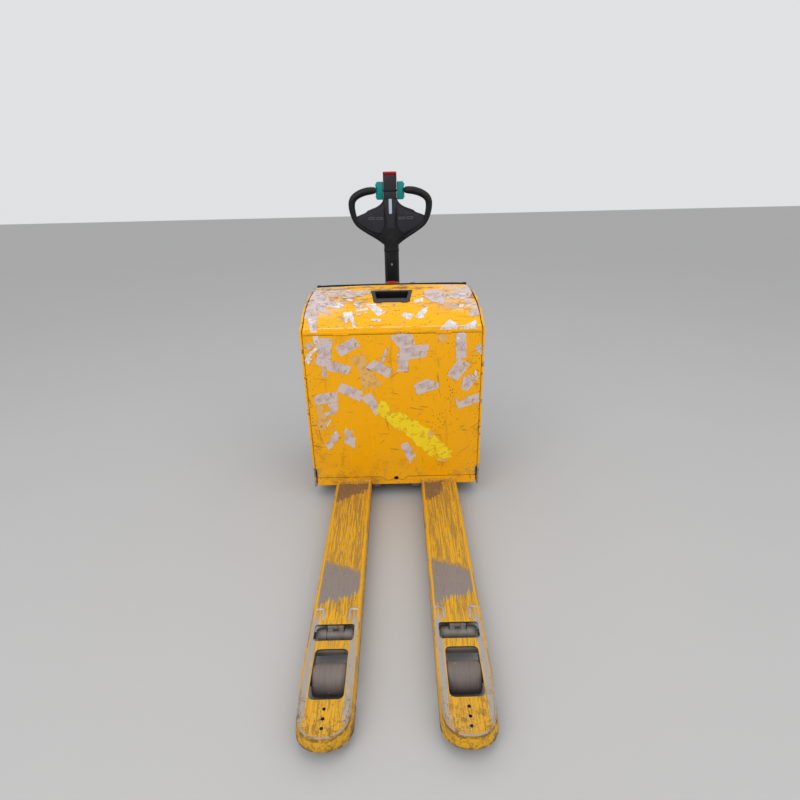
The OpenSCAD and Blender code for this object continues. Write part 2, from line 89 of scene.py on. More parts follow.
def new_mesh(name, bm):
    mesh = bpy.data.meshes.new(name)
    bm.to_mesh(mesh)
    bm.free()
    return mesh


def from_bmesh(name, bm, smooth_angle=35):
    bmesh.ops.recalc_face_normals(bm, faces=bm.faces)
    obj = add_object(name, new_mesh(name, bm))
    shade(obj, smooth_angle)
    return obj


def to_bmesh(mesh):
    bm = bmesh.new()
    bm.from_mesh(mesh)
    return bm


def cut(bm, where, normal):
    """Adds edges where a plane crosses the mesh."""
    geometry = [*bm.verts, *bm.edges, *bm.faces]
    bmesh.ops.bisect_plane(bm, geom=geometry, plane_co=where, plane_no=normal)


def evaluated_mesh(obj, **settings):
    bpy.context.view_layer.update()
    depsgraph = bpy.context.evaluated_depsgraph_get()
    return bpy.data.meshes.new_from_object(obj.evaluated_get(depsgraph), **settings)


def apply_modifiers(obj):
    mesh = evaluated_mesh(obj, depsgraph=bpy.context.evaluated_depsgraph_get())
    obj.modifiers.clear()
    old = obj.data
    obj.data = mesh
    bpy.data.meshes.remove(old)


def bevel(obj, width, segments=3, angle=30):
    modifier = obj.modifiers.new("Bevel", "BEVEL")
    modifier.width = width
    modifier.segments = segments
    modifier.limit_method = "ANGLE"
    modifier.angle_limit = math.radians(angle)
    modifier.harden_normals = False


def solidify(obj, thickness, offset=-1):
    modifier = obj.modifiers.new("Solidify", "SOLIDIFY")
    modifier.thickness = thickness
    modifier.offset = offset


def transform(obj, matrix):
    obj.data.transform(matrix)
    return obj


def join(name, objects):
    """One object made of several, with their materials kept."""
    bm = bmesh.new()
    materials = []
    for obj in objects:
        apply_modifiers(obj)
        offset = len(bm.faces)
        bm.from_mesh(obj.data)
        bm.faces.ensure_lookup_table()
        slots = list(obj.data.materials)
        for face in bm.faces[offset:]:
            if slots:
                material = slots[min(face.material_index, len(slots) - 1)]
                if material not in materials:
                    materials.append(material)
                face.material_index = materials.index(material)
        mesh = obj.data
        bpy.data.objects.remove(obj)
        bpy.data.meshes.remove(mesh)
    whole = add_object(name, new_mesh(name, bm))
    for material in materials:
        whole.data.materials.append(material)
    return whole


def coated(obj, *finishes):
    """Adds the named finishes to an object as material slots."""
    for finish in finishes:
        obj.data.materials.append(MATERIALS[finish])
    return obj


def grid(name, rows, wrap=False, caps=False, smooth_angle=35):
    """A quad surface through rows of points. wrap closes each row, caps fills the first and last."""
    bm = bmesh.new()
    verts = [[bm.verts.new(p) for p in row] for row in rows]
    count = len(rows[0])
    for a, b in zip(verts, verts[1:]):
        for i in range(count if wrap else count - 1):
            j = (i + 1) % count
            bm.faces.new((a[i], a[j], b[j], b[i]))
    if caps:
        bm.faces.new(verts[0])
        bm.faces.new(verts[-1])
    return from_bmesh(name, bm, smooth_angle)


def revolve(name, profile, centre, axis="x", steps=48, smooth_angle=35):
    """Spins (along, radius) points round an axis through centre."""
    frames = {
        "x": lambda a, r, t: (a, r * math.cos(t), r * math.sin(t)),
        "y": lambda a, r, t: (r * math.sin(t), a, r * math.cos(t)),
        "z": lambda a, r, t: (r * math.cos(t), r * math.sin(t), a),
    }
    spin = frames[axis]
    rows = []
    for along, radius in profile:
        ring = [spin(along, max(radius, 1e-5), 2 * math.pi * k / steps) for k in range(steps)]
        rows.append([Vector(centre) + Vector(p) for p in ring])
    return grid(name, rows, wrap=True, caps=True, smooth_angle=smooth_angle)


def rounded_loop(points, radius, steps=5):
    """Rounds the corners of a closed 2D outline; radius is one number or one per corner."""
    count = len(points)
    radii = radius if isinstance(radius, (list, tuple)) else [radius] * count
    result = []
    for i, corner in enumerate(points):
        here = Vector(corner)
        before = Vector(points[i - 1]) - here
        after = Vector(points[(i + 1) % count]) - here
        reach = min(radii[i], before.length * 0.49, after.length * 0.49)
        if reach < 1e-6:
            result.append(tuple(here))
            continue
        start = here + before.normalized() * reach
        end = here + after.normalized() * reach
        for k in range(steps + 1):
            t = k / steps
            point = start * (1 - t) ** 2 + here * (2 * t * (1 - t)) + end * t ** 2
            result.append(tuple(point))
    return result


def rectangle(x0, x1, y0, y1, radius=0.0, steps=5):
    return rounded_loop([(x0, y0), (x1, y0), (x1, y1), (x0, y1)], radius, steps)


def trapezoid(low_half, high_half, low, high, radius, steps=6, x=0.0):
    """A rounded outline whose half width goes from low_half at low to high_half at high."""
    corners = [(x - low_half, low), (x + low_half, low), (x + high_half, high), (x - high_half, high)]
    return rounded_loop(corners, radius, steps)


def circle(x, y, radius, steps):
    angles = (2 * math.pi * k / steps for k in range(steps))
    return [(x + radius * math.cos(a), y + radius * math.sin(a)) for a in angles]


PLANES = {
    "xy": Matrix.Identity(4),
    "xz": Matrix(((1, 0, 0, 0), (0, 0, -1, 0), (0, 1, 0, 0), (0, 0, 0, 1))),
    "yz": Matrix(((0, 0, 1, 0), (1, 0, 0, 0), (0, 1, 0, 0), (0, 0, 0, 1))),
}


def plate(name, loops, low, high, plane="xy", edge=0.0008):
    """A flat plate with rounded edges. loops are 2D outlines, the first outside, the rest holes.

    low and high are where it starts and ends along the plane's normal.
    """
    curve = bpy.data.curves.new(name, "CURVE")
    curve.dimensions = "2D"
    curve.fill_mode = "BOTH"
    edge = min(edge, (high - low) * 0.49)
    curve.extrude = (high - low) / 2 - edge
    curve.bevel_depth = edge
    curve.bevel_resolution = 2
    curve.offset = -edge
    for loop in loops:
        spline = curve.splines.new("POLY")
        spline.points.add(len(loop) - 1)
        for point, (u, v) in zip(spline.points, loop):
            point.co = (u, v, 0, 1)
        spline.use_cyclic_u = True
    holder = add_object(name, curve)
    mesh = evaluated_mesh(holder)
    bpy.data.objects.remove(holder)
    bpy.data.curves.remove(curve)
    bm = to_bmesh(mesh)
    bmesh.ops.remove_doubles(bm, verts=bm.verts, dist=1e-6)
    middle = (low + high) / 2 * (-1 if plane == "xz" else 1)
    bmesh.ops.transform(bm, matrix=PLANES[plane] @ Matrix.Translation((0, 0, middle)), verts=bm.verts)
    bpy.data.meshes.remove(mesh)
    return from_bmesh(name, bm)


def block(name, low, high, edge=0.001, segments=2):
    """A box between two corners with rounded edges."""
    bm = bmesh.new()
    bmesh.ops.create_cube(bm, size=1.0)
    size = Vector(high) - Vector(low)
    middle = (Vector(high) + Vector(low)) / 2
    bmesh.ops.transform(bm, matrix=Matrix.Translation(middle) @ Matrix.Diagonal((*size, 1)), verts=bm.verts)
    if edge > 0:
        bmesh.ops.bevel(bm, geom=bm.edges, offset=edge, segments=segments, profile=0.5, affect="EDGES")
    return from_bmesh(name, bm)


def smooth_path(points, per_span=8):
    """Catmull-Rom curve through points of any dimension."""
    pts = [Vector(p) for p in points]
    pts = [pts[0] * 2 - pts[1]] + pts + [pts[-1] * 2 - pts[-2]]
    result = []
    for a, b, c, d in zip(pts, pts[1:], pts[2:], pts[3:]):
        for k in range(per_span):
            t = k / per_span
            result.append(0.5 * ((2 * b) + (c - a) * t + (2 * a - 5 * b + 4 * c - d) * t ** 2
                                 + (3 * b - a - 3 * c + d) * t ** 3))
    result.append(pts[-2])
    return result


def tube(name, path, radii, sides=20):
    """A round-ended tube along 3D points in a plane of constant Y. radii holds one radius per point."""
    points = [Vector(p) for p in path]
    sizes = list(radii) if isinstance(radii, (list, tuple)) else [radii] * len(points)
    caps = []
    for end, step in ((0, 1), (-1, -1)):
        size = sizes[end]
        away = (points[end] - points[end + step]).normalized() * size
        caps.append([(points[end] + away * s, size * math.sqrt(max(0.0, 1 - s * s)) + 1e-4)
                     for s in (0.35, 0.65, 0.88, 0.99)])
    line = caps[0][::-1] + list(zip(points, sizes)) + caps[1]
    rows = []
    for i, (point, size) in enumerate(line):
        ahead = line[min(i + 1, len(line) - 1)][0]
        behind = line[max(i - 1, 0)][0]
        direction = (ahead - behind).normalized()
        side = direction.cross(Vector((0, 1, 0))).normalized()
        depth = direction.cross(side).normalized()
        rows.append([point + (side * math.cos(a) + depth * math.sin(a)) * size
                     for a in (2 * math.pi * k / sides for k in range(sides))])
    return grid(name, rows, wrap=True, caps=True, smooth_angle=60)


def smoothstep(low, high, value):
    t = min(1.0, max(0.0, (value - low) / (high - low)))
    return t * t * (3 - 2 * t)


def interpolate(table, value):
    """Value read from a list of (input, output) pairs, straight between them."""
    if value <= table[0][0]:
        return table[0][1]
    for (a, fa), (b, fb) in zip(table, table[1:]):
        if value <= b:
            return fa + (fb - fa) * (value - a) / (b - a)
    return table[-1][1]


def place(obj, finish, body, slot, *replaced):
    """Gives a finished piece its material, its body and the CAD nodes it stands for; the slot argument is
    not used.
    """
    if obj.modifiers:
        apply_modifiers(obj)
    if finish is not None:
        obj.data.materials.clear()
        coated(obj, finish)
    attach(obj, body)
    if replaced:
        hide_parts(*replaced)


# ---------- Material helpers ----------

# Input sockets of the two things mixed and output socket of the Mix node
MIX_SOCKETS = {"FLOAT": (2, 3, 0), "RGBA": (6, 7, 2)}


class Value:
    """A number that varies over the surface; arithmetic on it adds shader nodes."""

    def __init__(self, paint, socket):
        self.paint = paint
        self.socket = socket

    def __mul__(self, other):
        return self.paint.maths("MULTIPLY", self, other)

    def __add__(self, other):
        return self.paint.maths("ADD", self, other)

    def __sub__(self, other):
        return self.paint.maths("SUBTRACT", self, other)

    def __or__(self, other):
        return self.paint.maths("MAXIMUM", self, other)

    def __abs__(self):
        return self.paint.maths("ABSOLUTE", self)

    def raised(self, amount):
        """The value plus an amount, kept between 0 and 1."""
        return self.paint.maths("ADD", self, amount, clamp=True)

    def ramp(self, low, high):
        """0 below low, 1 above high, smooth between; low may be the larger one."""
        node = self.paint.add("ShaderNodeMapRange", interpolation_type="SMOOTHSTEP", clamp=True)
        self.paint.put(node.inputs["Value"], self)
        ends = (low, high, 0.0, 1.0) if low < high else (high, low, 1.0, 0.0)
        for name, end in zip(("From Min", "From Max", "To Min", "To Max"), ends):
            node.inputs[name].default_value = end
        return Value(self.paint, node.outputs[0])

    def band(self, low, high, soft):
        """1 between low and high, falling off over soft on both sides."""
        return self.ramp(low - soft, low + soft) * self.ramp(high + soft, high - soft)


class Paint:
    """One node material with a Principled shader, built up coat by coat."""

    def __init__(self, name, colour, roughness=0.5, metallic=0.0, coords="Object"):
        self.material = bpy.data.materials.new(name)
        self.material.use_nodes = True
        self.tree = self.material.node_tree
        self.tree.nodes.clear()
        output = self.add("ShaderNodeOutputMaterial")
        self.shader = self.add("ShaderNodeBsdfPrincipled")
        self.put(output.inputs[0], self.shader.outputs[0])
        numbers = {"Roughness": roughness, "Metallic": metallic, "Specular IOR Level": 0.25}
        for socket, value in numbers.items():
            self.put(self.shader.inputs[socket], value)
        self.position = self.add("ShaderNodeTexCoord").outputs[coords]
        plain = self.add("ShaderNodeRGB").outputs[0]
        self.put(plain, colour)
        self.looks = {"Base Color": plain, "Roughness": roughness, "Metallic": metallic}
        self.heights = []

    def add(self, kind, **settings):
        node = self.tree.nodes.new(kind)
        for key, value in settings.items():
            setattr(node, key, value)
        return node

    def put(self, socket, value):
        """Links a socket or a Value, or sets a number or a colour."""
        if isinstance(value, Value):
            value = value.socket
        if isinstance(value, bpy.types.NodeSocket):
            self.tree.links.new(value, socket)
        else:
            socket.default_value = (*value, 1.0) if isinstance(value, tuple) else value

    def maths(self, operation, a, b=0.0, clamp=False):
        node = self.add("ShaderNodeMath", operation=operation, use_clamp=clamp)
        self.put(node.inputs[0], a)
        self.put(node.inputs[1], b)
        return Value(self, node.outputs[0])

    def texture(self, kind, stretch, turn, **numbers):
        """A texture of the position turned first and scaled after, so long marks can run at any angle."""
        mapping = self.add("ShaderNodeMapping", vector_type="TEXTURE")
        self.put(mapping.inputs["Vector"], self.position)
        mapping.inputs["Rotation"].default_value = [math.radians(a) for a in turn]
        mapping.inputs["Scale"].default_value = [1 / s for s in stretch]
        node = self.add(kind)
        self.put(node.inputs["Vector"], mapping.outputs[0])
        for name, number in numbers.items():
            node.inputs[name].default_value = number
        return node

    def noise(self, scale, detail=4.0, rough=0.55, stretch=(1, 1, 1), turn=(0, 0, 0), distort=0.0):
        node = self.texture("ShaderNodeTexNoise", stretch, turn, Scale=scale, Detail=detail, Roughness=rough,
                            Distortion=distort)
        return Value(self, node.outputs["Fac"])

    def cells(self, scale):
        node = self.texture("ShaderNodeTexVoronoi", (1, 1, 1), (0, 0, 0), Scale=scale)
        return Value(self, node.outputs["Distance"])

    def spots(self, low, high, *size, **settings):
        """Patches of noise, cut off softly between low and high."""
        return self.noise(*size, **settings).ramp(low, high)

    def axis(self, name):
        node = self.add("ShaderNodeSeparateXYZ")
        self.put(node.inputs[0], self.position)
        return Value(self, node.outputs[name])

    def mix(self, kind, mask, a, b):
        """a where mask is 0, b where it is 1."""
        node = self.add("ShaderNodeMix", data_type=kind)
        first, second, result = MIX_SOCKETS[kind]
        for index, value in ((0, mask), (first, a), (second, b)):
            self.put(node.inputs[index], value)
        return node.outputs[result]

    def coat(self, mask, colour, rough=None, metal=None, strength=1.0):
        """Lays a colour over what is there, where mask is 1."""
        if strength != 1.0:
            mask = mask * strength
        for kind, look, value in (("RGBA", "Base Color", colour), ("FLOAT", "Roughness", rough),
                                  ("FLOAT", "Metallic", metal)):
            if value is not None:
                self.looks[look] = self.mix(kind, mask, self.looks[look], value)

    def vary(self, amount, scale=6.0, detail=3.0):
        """Lightens and darkens the colour in soft patches."""
        node = self.add("ShaderNodeHueSaturation")
        self.put(node.inputs["Value"], self.mix("FLOAT", self.noise(scale, detail), 1 - amount, 1 + amount))
        self.put(node.inputs["Color"], self.looks["Base Color"])
        self.looks["Base Color"] = node.outputs[0]

    def vary_rough(self, low, high, scale=30.0):
        self.looks["Roughness"] = self.mix("FLOAT", self.noise(scale, 4.0), low, high)

    def bump(self, height, depth):
        self.heights.append((height, depth))

    def finish(self):
        for look, value in self.looks.items():
            self.put(self.shader.inputs[look], value)
        normal = None
        for height, depth in self.heights:
            node = self.add("ShaderNodeBump")
            node.inputs["Strength"].default_value = 1.0
            node.inputs["Distance"].default_value = depth
            self.put(node.inputs["Height"], height)
            if normal is not None:
                self.put(node.inputs["Normal"], normal)
            normal = node.outputs[0]
        if normal is not None:
            self.put(self.shader.inputs["Normal"], normal)
        return self.material


# ---------- Materials ----------

YELLOW = (0.90, 0.405, 0.0)
YELLOW_LID = (0.92, 0.435, 0.0)
YELLOW_FORK = (0.68, 0.345, 0.010)
BARE = (0.235, 0.215, 0.195)
GREY_STEEL = (0.30, 0.285, 0.27)
RUST = (0.13, 0.05, 0.018)
GRIME = (0.16, 0.095, 0.03)


def scratches(paint, amount):
    """Fine crossing scratches as thin stretched noise in three directions."""
    masks = [paint.spots(amount, amount + 0.03, size, 3.0, 0.6, stretch=(0.08, 1, 1), turn=turn)
             for turn, size in (((0, 8, 4), 95), ((0, -40, 6), 120), ((0, 78, -5), 90))]
    return masks[0] | masks[1] | masks[2]


def panel_paint():
    """Yellow enamel of the box: faded patches, brown stains, scuffs, rust specks and scratches."""
    paint = Paint("panel_paint", YELLOW, 0.42)
    paint.vary(0.07, 5.0, 4.0)
    across, z = abs(paint.axis("X")), paint.axis("Z")
    low = z.ramp(PANEL_BOTTOM + 0.14, PANEL_BOTTOM)
    side = across.ramp(BODY_HALF - 0.06, BODY_HALF - 0.01)
    grime = paint.spots(0.48, 0.68, 9, 8, 0.68) * (low | side)
    paint.coat(grime, GRIME, 0.6, strength=0.45)
    runs = paint.spots(0.58, 0.74, 26, 6, 0.65, stretch=(1.0, 1.0, 0.14))
    paint.coat(runs, (0.46, 0.20, 0.01), 0.55, strength=0.55)
    smear = paint.spots(0.58, 0.70, 13, 7, 0.7)
    paint.coat(smear, (0.45, 0.21, 0.02), 0.55, strength=0.35)
    paint.coat(scratches(paint, 0.665), (0.30, 0.15, 0.03), 0.6, strength=0.65)
    rust = paint.cells(85).ramp(0.26, 0.16) * (paint.spots(0.56, 0.64, 9, 5, 0.65) | side * 0.9)
    paint.coat(rust, RUST, 0.85)
    flecks = paint.spots(0.63, 0.67, 120, 5, 0.7) * paint.spots(0.52, 0.60, 11, 4)
    paint.coat(flecks, (0.22, 0.10, 0.03), 0.7)
    chips = paint.spots(0.60, 0.64, 90, 5, 0.7) * (side | low) * low
    paint.coat(chips, BARE, 0.55, 0.4)
    slots = across.ramp(0.338, 0.344) * z.band(0.102, 0.150, 0.006)
    slots = slots * paint.spots(0.36, 0.46, 40, 6, 0.7, stretch=(1, 1, 0.4))
    paint.coat(slots, (0.25, 0.24, 0.235), 0.5, 0.2)
    paint.bump(paint.noise(260, 2), 0.00012)
    paint.bump(paint.noise(6, 2), 0.0012)
    return paint.finish()


def lid_paint():
    """Brighter yellow of the lid, scuffed brown and grey where it is slid over, with a painted highlight
    along its lower bend.
    """
    paint = Paint("lid_paint", YELLOW_LID, 0.36)
    paint.vary(0.06, 6.0, 4.0)
    across, z = abs(paint.axis("X")), paint.axis("Z")
    fine = paint.spots(0.57, 0.69, 150, 4, 0.65, stretch=(0.06, 1, 1))
    paint.coat(fine, (0.42, 0.20, 0.03), 0.55, strength=0.6)
    high = z.ramp(LID_TOP - 0.045, LID_TOP - 0.004)
    corner = across.ramp(0.15, 0.30) * z.ramp(SEAM_Z + 0.05, SEAM_Z + 0.10)
    region = high | corner
    scuff = paint.spots(0.50, 0.60, 24, 8, 0.72, stretch=(0.35, 1, 1))
    paint.coat(scuff * region.raised(0.15), (0.36, 0.20, 0.08), 0.6)
    dark = paint.spots(0.60, 0.66, 46, 7, 0.7, stretch=(0.25, 1, 1))
    paint.coat(dark * region.raised(0.25), (0.16, 0.09, 0.05), 0.6)
    marks = paint.spots(0.60, 0.63, 36, 7, 0.72, stretch=(0.6, 1, 1)) * paint.spots(0.42, 0.50, 7, 3)
    paint.coat(marks, (0.43, 0.30, 0.20), 0.6)
    bare = paint.spots(0.46, 0.53, 30, 7, 0.7, stretch=(0.4, 1, 1))
    paint.coat(bare * (corner | across.ramp(0.22, 0.31) * high), (0.56, 0.51, 0.49), 0.6)
    paint.coat(paint.cells(62).ramp(0.16, 0.09), RUST, 0.8)
    # Painted highlight: a thin pale line along the lid's lower bend, standing for the light caught on the
    # bend
    bend_highlight = z.band(SEAM_Z + 0.0245, SEAM_Z + 0.0260, 0.0008)
    paint.coat(bend_highlight * paint.spots(0.42, 0.50, 14, 5, 0.7, stretch=(1, 0.1, 0.1)), (0.98, 0.80, 0.38), 0.3)
    paint.bump(paint.noise(240, 2), 0.0001)
    paint.bump(paint.noise(8, 2), 0.001)
    return paint.finish()


def side_paint():
    """Yellow side plates whose edges are specked and rubbed to grey steel low down."""
    paint = Paint("side_paint", YELLOW, 0.45)
    paint.vary(0.08, 5.0, 4.0)
    y, z = paint.axis("Y"), paint.axis("Z")
    front = y.ramp(PANEL_FRONT + 0.012, PANEL_FRONT + 0.004)
    low = z.ramp(PANEL_BOTTOM + 0.09, PANEL_BOTTOM + 0.02)
    foot = z.ramp(BODY_LOW + 0.03, BODY_LOW + 0.004)
    top = z.ramp(SEAM_Z + 0.05, SEAM_Z + 0.11)
    worn = (front * low | foot | top * 0.85) * paint.spots(0.44, 0.52, 24, 7, 0.7)
    paint.coat(worn, GREY_STEEL, 0.5, 0.3)
    nicks = front * paint.spots(0.58, 0.63, 70, 6, 0.7, stretch=(1, 1, 0.5))
    paint.coat(nicks, (0.12, 0.07, 0.04), 0.7)
    streak = paint.spots(0.60, 0.70, 46, 6, 0.7, stretch=(1, 0.10, 1))
    paint.coat(streak, GRIME, 0.6, strength=0.6)
    specks = paint.cells(60).ramp(0.22, 0.12) * paint.spots(0.5, 0.62, 6, 3)
    paint.coat(specks, RUST, 0.85)
    paint.bump(paint.noise(240, 2), 0.00012)
    return paint.finish()


def fork_paint():
    """Yellow forks rubbed lengthwise by pallets, with a bare band, a brown heel and worn edges."""
    paint = Paint("fork_paint", YELLOW_FORK, 0.5)
    paint.vary(0.10, 9.0, 4.0)
    x, y, z = paint.axis("X"), paint.axis("Y"), paint.axis("Z")
    off = abs(abs(x) - FORK_X)
    # Distance across each fork from its left edge, the same way round on both
    left = Value(paint, paint.mix("FLOAT", x.ramp(-0.01, 0.01), FORK_X, -FORK_X)) + x
    deck = z.ramp(FORK_TOP - 0.006, FORK_TOP - 0.002)
    inside = off.ramp(FORK_HALF - 0.008, FORK_HALF - 0.014)
    nose = y.ramp(TIP_Y + 0.11, TIP_Y + 0.05)
    streaks = paint.noise(210, 5, 0.62, stretch=(1, 0.035, 1))
    fine = paint.noise(420, 4, 0.6, stretch=(1, 0.05, 1))
    lines = streaks.ramp(0.44, 0.58) * deck * inside * y.ramp(-0.50, -0.40).raised(0.45)
    paint.coat(lines, (0.24, 0.135, 0.045), 0.6, strength=0.70)
    paint.coat(fine.ramp(0.52, 0.62) * deck * inside, (0.30, 0.165, 0.04), 0.6)
    along = y + (streaks - 0.5) * 0.14
    bare = (along + left * -0.38).ramp(-0.403, -0.397) * (along + left * 0.45).ramp(-0.246, -0.254)
    bare_steel_colour = paint.mix("RGBA", fine, (0.20, 0.165, 0.145), (0.30, 0.26, 0.235))
    paint.coat(bare * deck * inside, bare_steel_colour, 0.5, 0.3)
    cloud = (paint.noise(30, 7, 0.72) - 0.5) * 0.16
    slope = (along + (cloud + left * -0.72)).ramp(0.170, 0.182)
    half = x.ramp(0.01, -0.01) | (left + cloud).ramp(0.012, -0.004)
    heel = slope * half * (y + cloud * 0.4).ramp(PANEL_FRONT - 0.018, PANEL_FRONT - 0.026) * deck * inside
    paint.coat(heel, paint.mix("RGBA", fine, (0.145, 0.082, 0.045), (0.21, 0.125, 0.065)), 0.65)
    grain = paint.spots(0.50, 0.60, 230, 4, 0.6) * y.band(0.13, PANEL_FRONT - 0.012, 0.02) * deck * inside
    paint.coat(grain, (0.30, 0.17, 0.05), 0.65, strength=0.75)
    toe_side = off.band(0.050, 0.069, 0.004) * y.band(-0.80, -0.47, 0.03) * deck
    patchy = paint.spots(0.34, 0.44, 22, 7, 0.68, stretch=(1, 0.4, 1))
    paint.coat(toe_side * patchy, (0.36, 0.325, 0.285), 0.45, 0.3)
    corners = off.ramp(0.040, 0.060) * nose * deck * paint.spots(0.42, 0.52, 30, 6, 0.7)
    paint.coat(corners, (0.35, 0.32, 0.28), 0.5, 0.3)
    below = z.band(FORK_TOP - 0.017, FORK_TOP - 0.008, 0.002) * nose * paint.spots(0.40, 0.52, 60, 6, 0.7)
    paint.coat(below, (0.13, 0.075, 0.035), 0.6, strength=0.8)
    lip = z.band(FORK_TOP - 0.007, FORK_TOP - 0.0025, 0.002) * nose
    paint.coat(lip, (0.46, 0.43, 0.40), 0.38, 0.5)
    dirt = paint.spots(0.50, 0.60, 42, 8, 0.72) * y.ramp(TIP_Y + 0.18, TIP_Y + 0.04)
    paint.coat(dirt, (0.20, 0.115, 0.03), 0.7, strength=0.7)
    pits = paint.spots(0.60, 0.66, 150, 5, 0.7) * nose
    paint.coat(pits, (0.08, 0.05, 0.03), 0.8)
    flank = z.ramp(FORK_TOP - 0.008, FORK_TOP - 0.014)
    flank = flank * paint.spots(0.50, 0.64, 30, 7, 0.7, stretch=(1, 0.3, 1))
    paint.coat(flank, GRIME, 0.6, strength=0.5)
    foot = z.ramp(0.050, 0.036) * paint.spots(0.42, 0.54, 55, 6, 0.7)
    paint.coat(foot, (0.11, 0.075, 0.04), 0.75)
    rim = off.band(FORK_HALF - 0.004, FORK_HALF + 0.01, 0.002)
    rim = rim * paint.spots(0.52, 0.58, 30, 6, 0.7, stretch=(1, 0.25, 1)) * deck
    paint.coat(rim, (0.30, 0.22, 0.14), 0.5)
    paint.coat(paint.cells(85).ramp(0.15, 0.08), RUST, 0.85)
    paint.bump(streaks, 0.0007)
    paint.bump(paint.noise(45, 5), 0.0006)
    return paint.finish()


def bare_steel(name="worn_steel", colour=(0.24, 0.215, 0.195), rough=0.55, metallic=0.25):
    """Old bare steel: brushed, stained, with brown oil and rust."""
    paint = Paint(name, colour, rough, metallic)
    paint.vary(0.22, 30.0, 5.0)
    paint.coat(paint.spots(0.48, 0.66, 26, 7, 0.7), (0.13, 0.095, 0.07), 0.7, 0.2, strength=0.6)
    paint.bump(paint.noise(300, 3, stretch=(1, 0.15, 1)), 0.0002)
    return paint.finish()


def roller_material():
    """Grey-brown polyurethane tread, worn smooth with fine rings."""
    paint = Paint("roller_tread", (0.160, 0.130, 0.118), 0.5)
    paint.vary(0.25, 16.0, 5.0)
    rings = paint.noise(260, 3, 0.6, stretch=(1, 0.02, 0.02))
    paint.coat(rings.ramp(0.52, 0.62), (0.10, 0.08, 0.07), 0.6, strength=0.45)
    paint.coat(paint.spots(0.62, 0.68, 48, 6, 0.72), (0.40, 0.36, 0.33), 0.5, strength=0.6)
    paint.bump(rings, 0.0005)
    paint.bump(paint.noise(70, 4), 0.0006)
    return paint.finish()


def moulded(name, colour, rough, grain=0.00016, dust=0.10, dust_colour=(0.20, 0.19, 0.18)):
    """Moulded plastic with a fine grain and a little dust."""
    paint = Paint(name, colour, rough)
    paint.vary(0.12, 12.0, 3.0)
    paint.vary_rough(rough - 0.07, rough + 0.09, 35.0)
    paint.coat(paint.spots(0.52, 0.75, 30, 6, 0.7), dust_colour, strength=dust)
    paint.bump(paint.cells(900), grain)
    paint.bump(paint.noise(1400, 2), grain * 0.5)
    return paint.finish()


def paper(name, colour, worn=0.5):
    """Torn shipping-label paper: grey print blocks without lettering, creased and stained."""
    paint = Paint(name, colour, 0.8, coords="UV")
    paint.vary(0.08, 3.0, 4.0)
    u, v = paint.axis("X"), paint.axis("Y")
    lines = paint.spots(0.48, 0.56, 1.0, 2.0, 0.5, stretch=(22, 48, 1))
    lines = lines * u.band(-0.30, 0.14, 0.01) * v.band(-0.03, 0.20, 0.01)
    code = paint.spots(0.48, 0.53, 1.0, 1.0, 0.5, stretch=(75, 0.01, 1))
    code = code * u.band(-0.08, 0.32, 0.01) * v.band(-0.20, -0.09, 0.005)
    paint.coat(lines | code, (0.14, 0.12, 0.13), strength=0.5)
    paint.coat(paint.spots(0.50, 0.70, 3.0, 6, 0.7), (0.46, 0.33, 0.25), strength=worn)
    torn = paint.spots(0.565, 0.595, 4.5, 6, 0.75)
    paint.coat(torn, (0.46, 0.25, 0.05), strength=min(1.0, worn + 0.35))
    paint.bump(paint.noise(7.0, 5, 0.6, distort=1.5), 0.0009)
    return paint.finish()


def tape(name, colour, rough, worn_colour):
    """Old adhesive tape, streaked and partly rubbed off."""
    paint = Paint(name, colour, rough)
    paint.vary(0.12, 30.0, 4.0)
    paint.coat(paint.spots(0.52, 0.58, 38, 6, 0.7), worn_colour, strength=0.8)
    paint.coat(paint.spots(0.60, 0.625, 24, 7, 0.74), (0.33, 0.15, 0.03))
    paint.bump(paint.noise(90, 4, distort=1.0), 0.0008)
    return paint.finish()


def metal(name, colour, rough, grain=0.0001):
    """Clean metal with a fine grain."""
    paint = Paint(name, colour, rough, 0.9)
    paint.vary(0.10, 20.0, 3.0)
    paint.vary_rough(rough - 0.06, rough + 0.10, 60.0)
    paint.bump(paint.noise(500, 2), grain)
    return paint.finish()


def rubber(name, colour=(0.028, 0.028, 0.028)):
    """Dusty dull rubber."""
    paint = Paint(name, colour, 0.78)
    paint.vary(0.2, 20.0, 4.0)
    paint.coat(paint.spots(0.5, 0.7, 40, 6, 0.7), (0.12, 0.11, 0.10), strength=0.4)
    paint.bump(paint.noise(400, 4), 0.0003)
    return paint.finish()


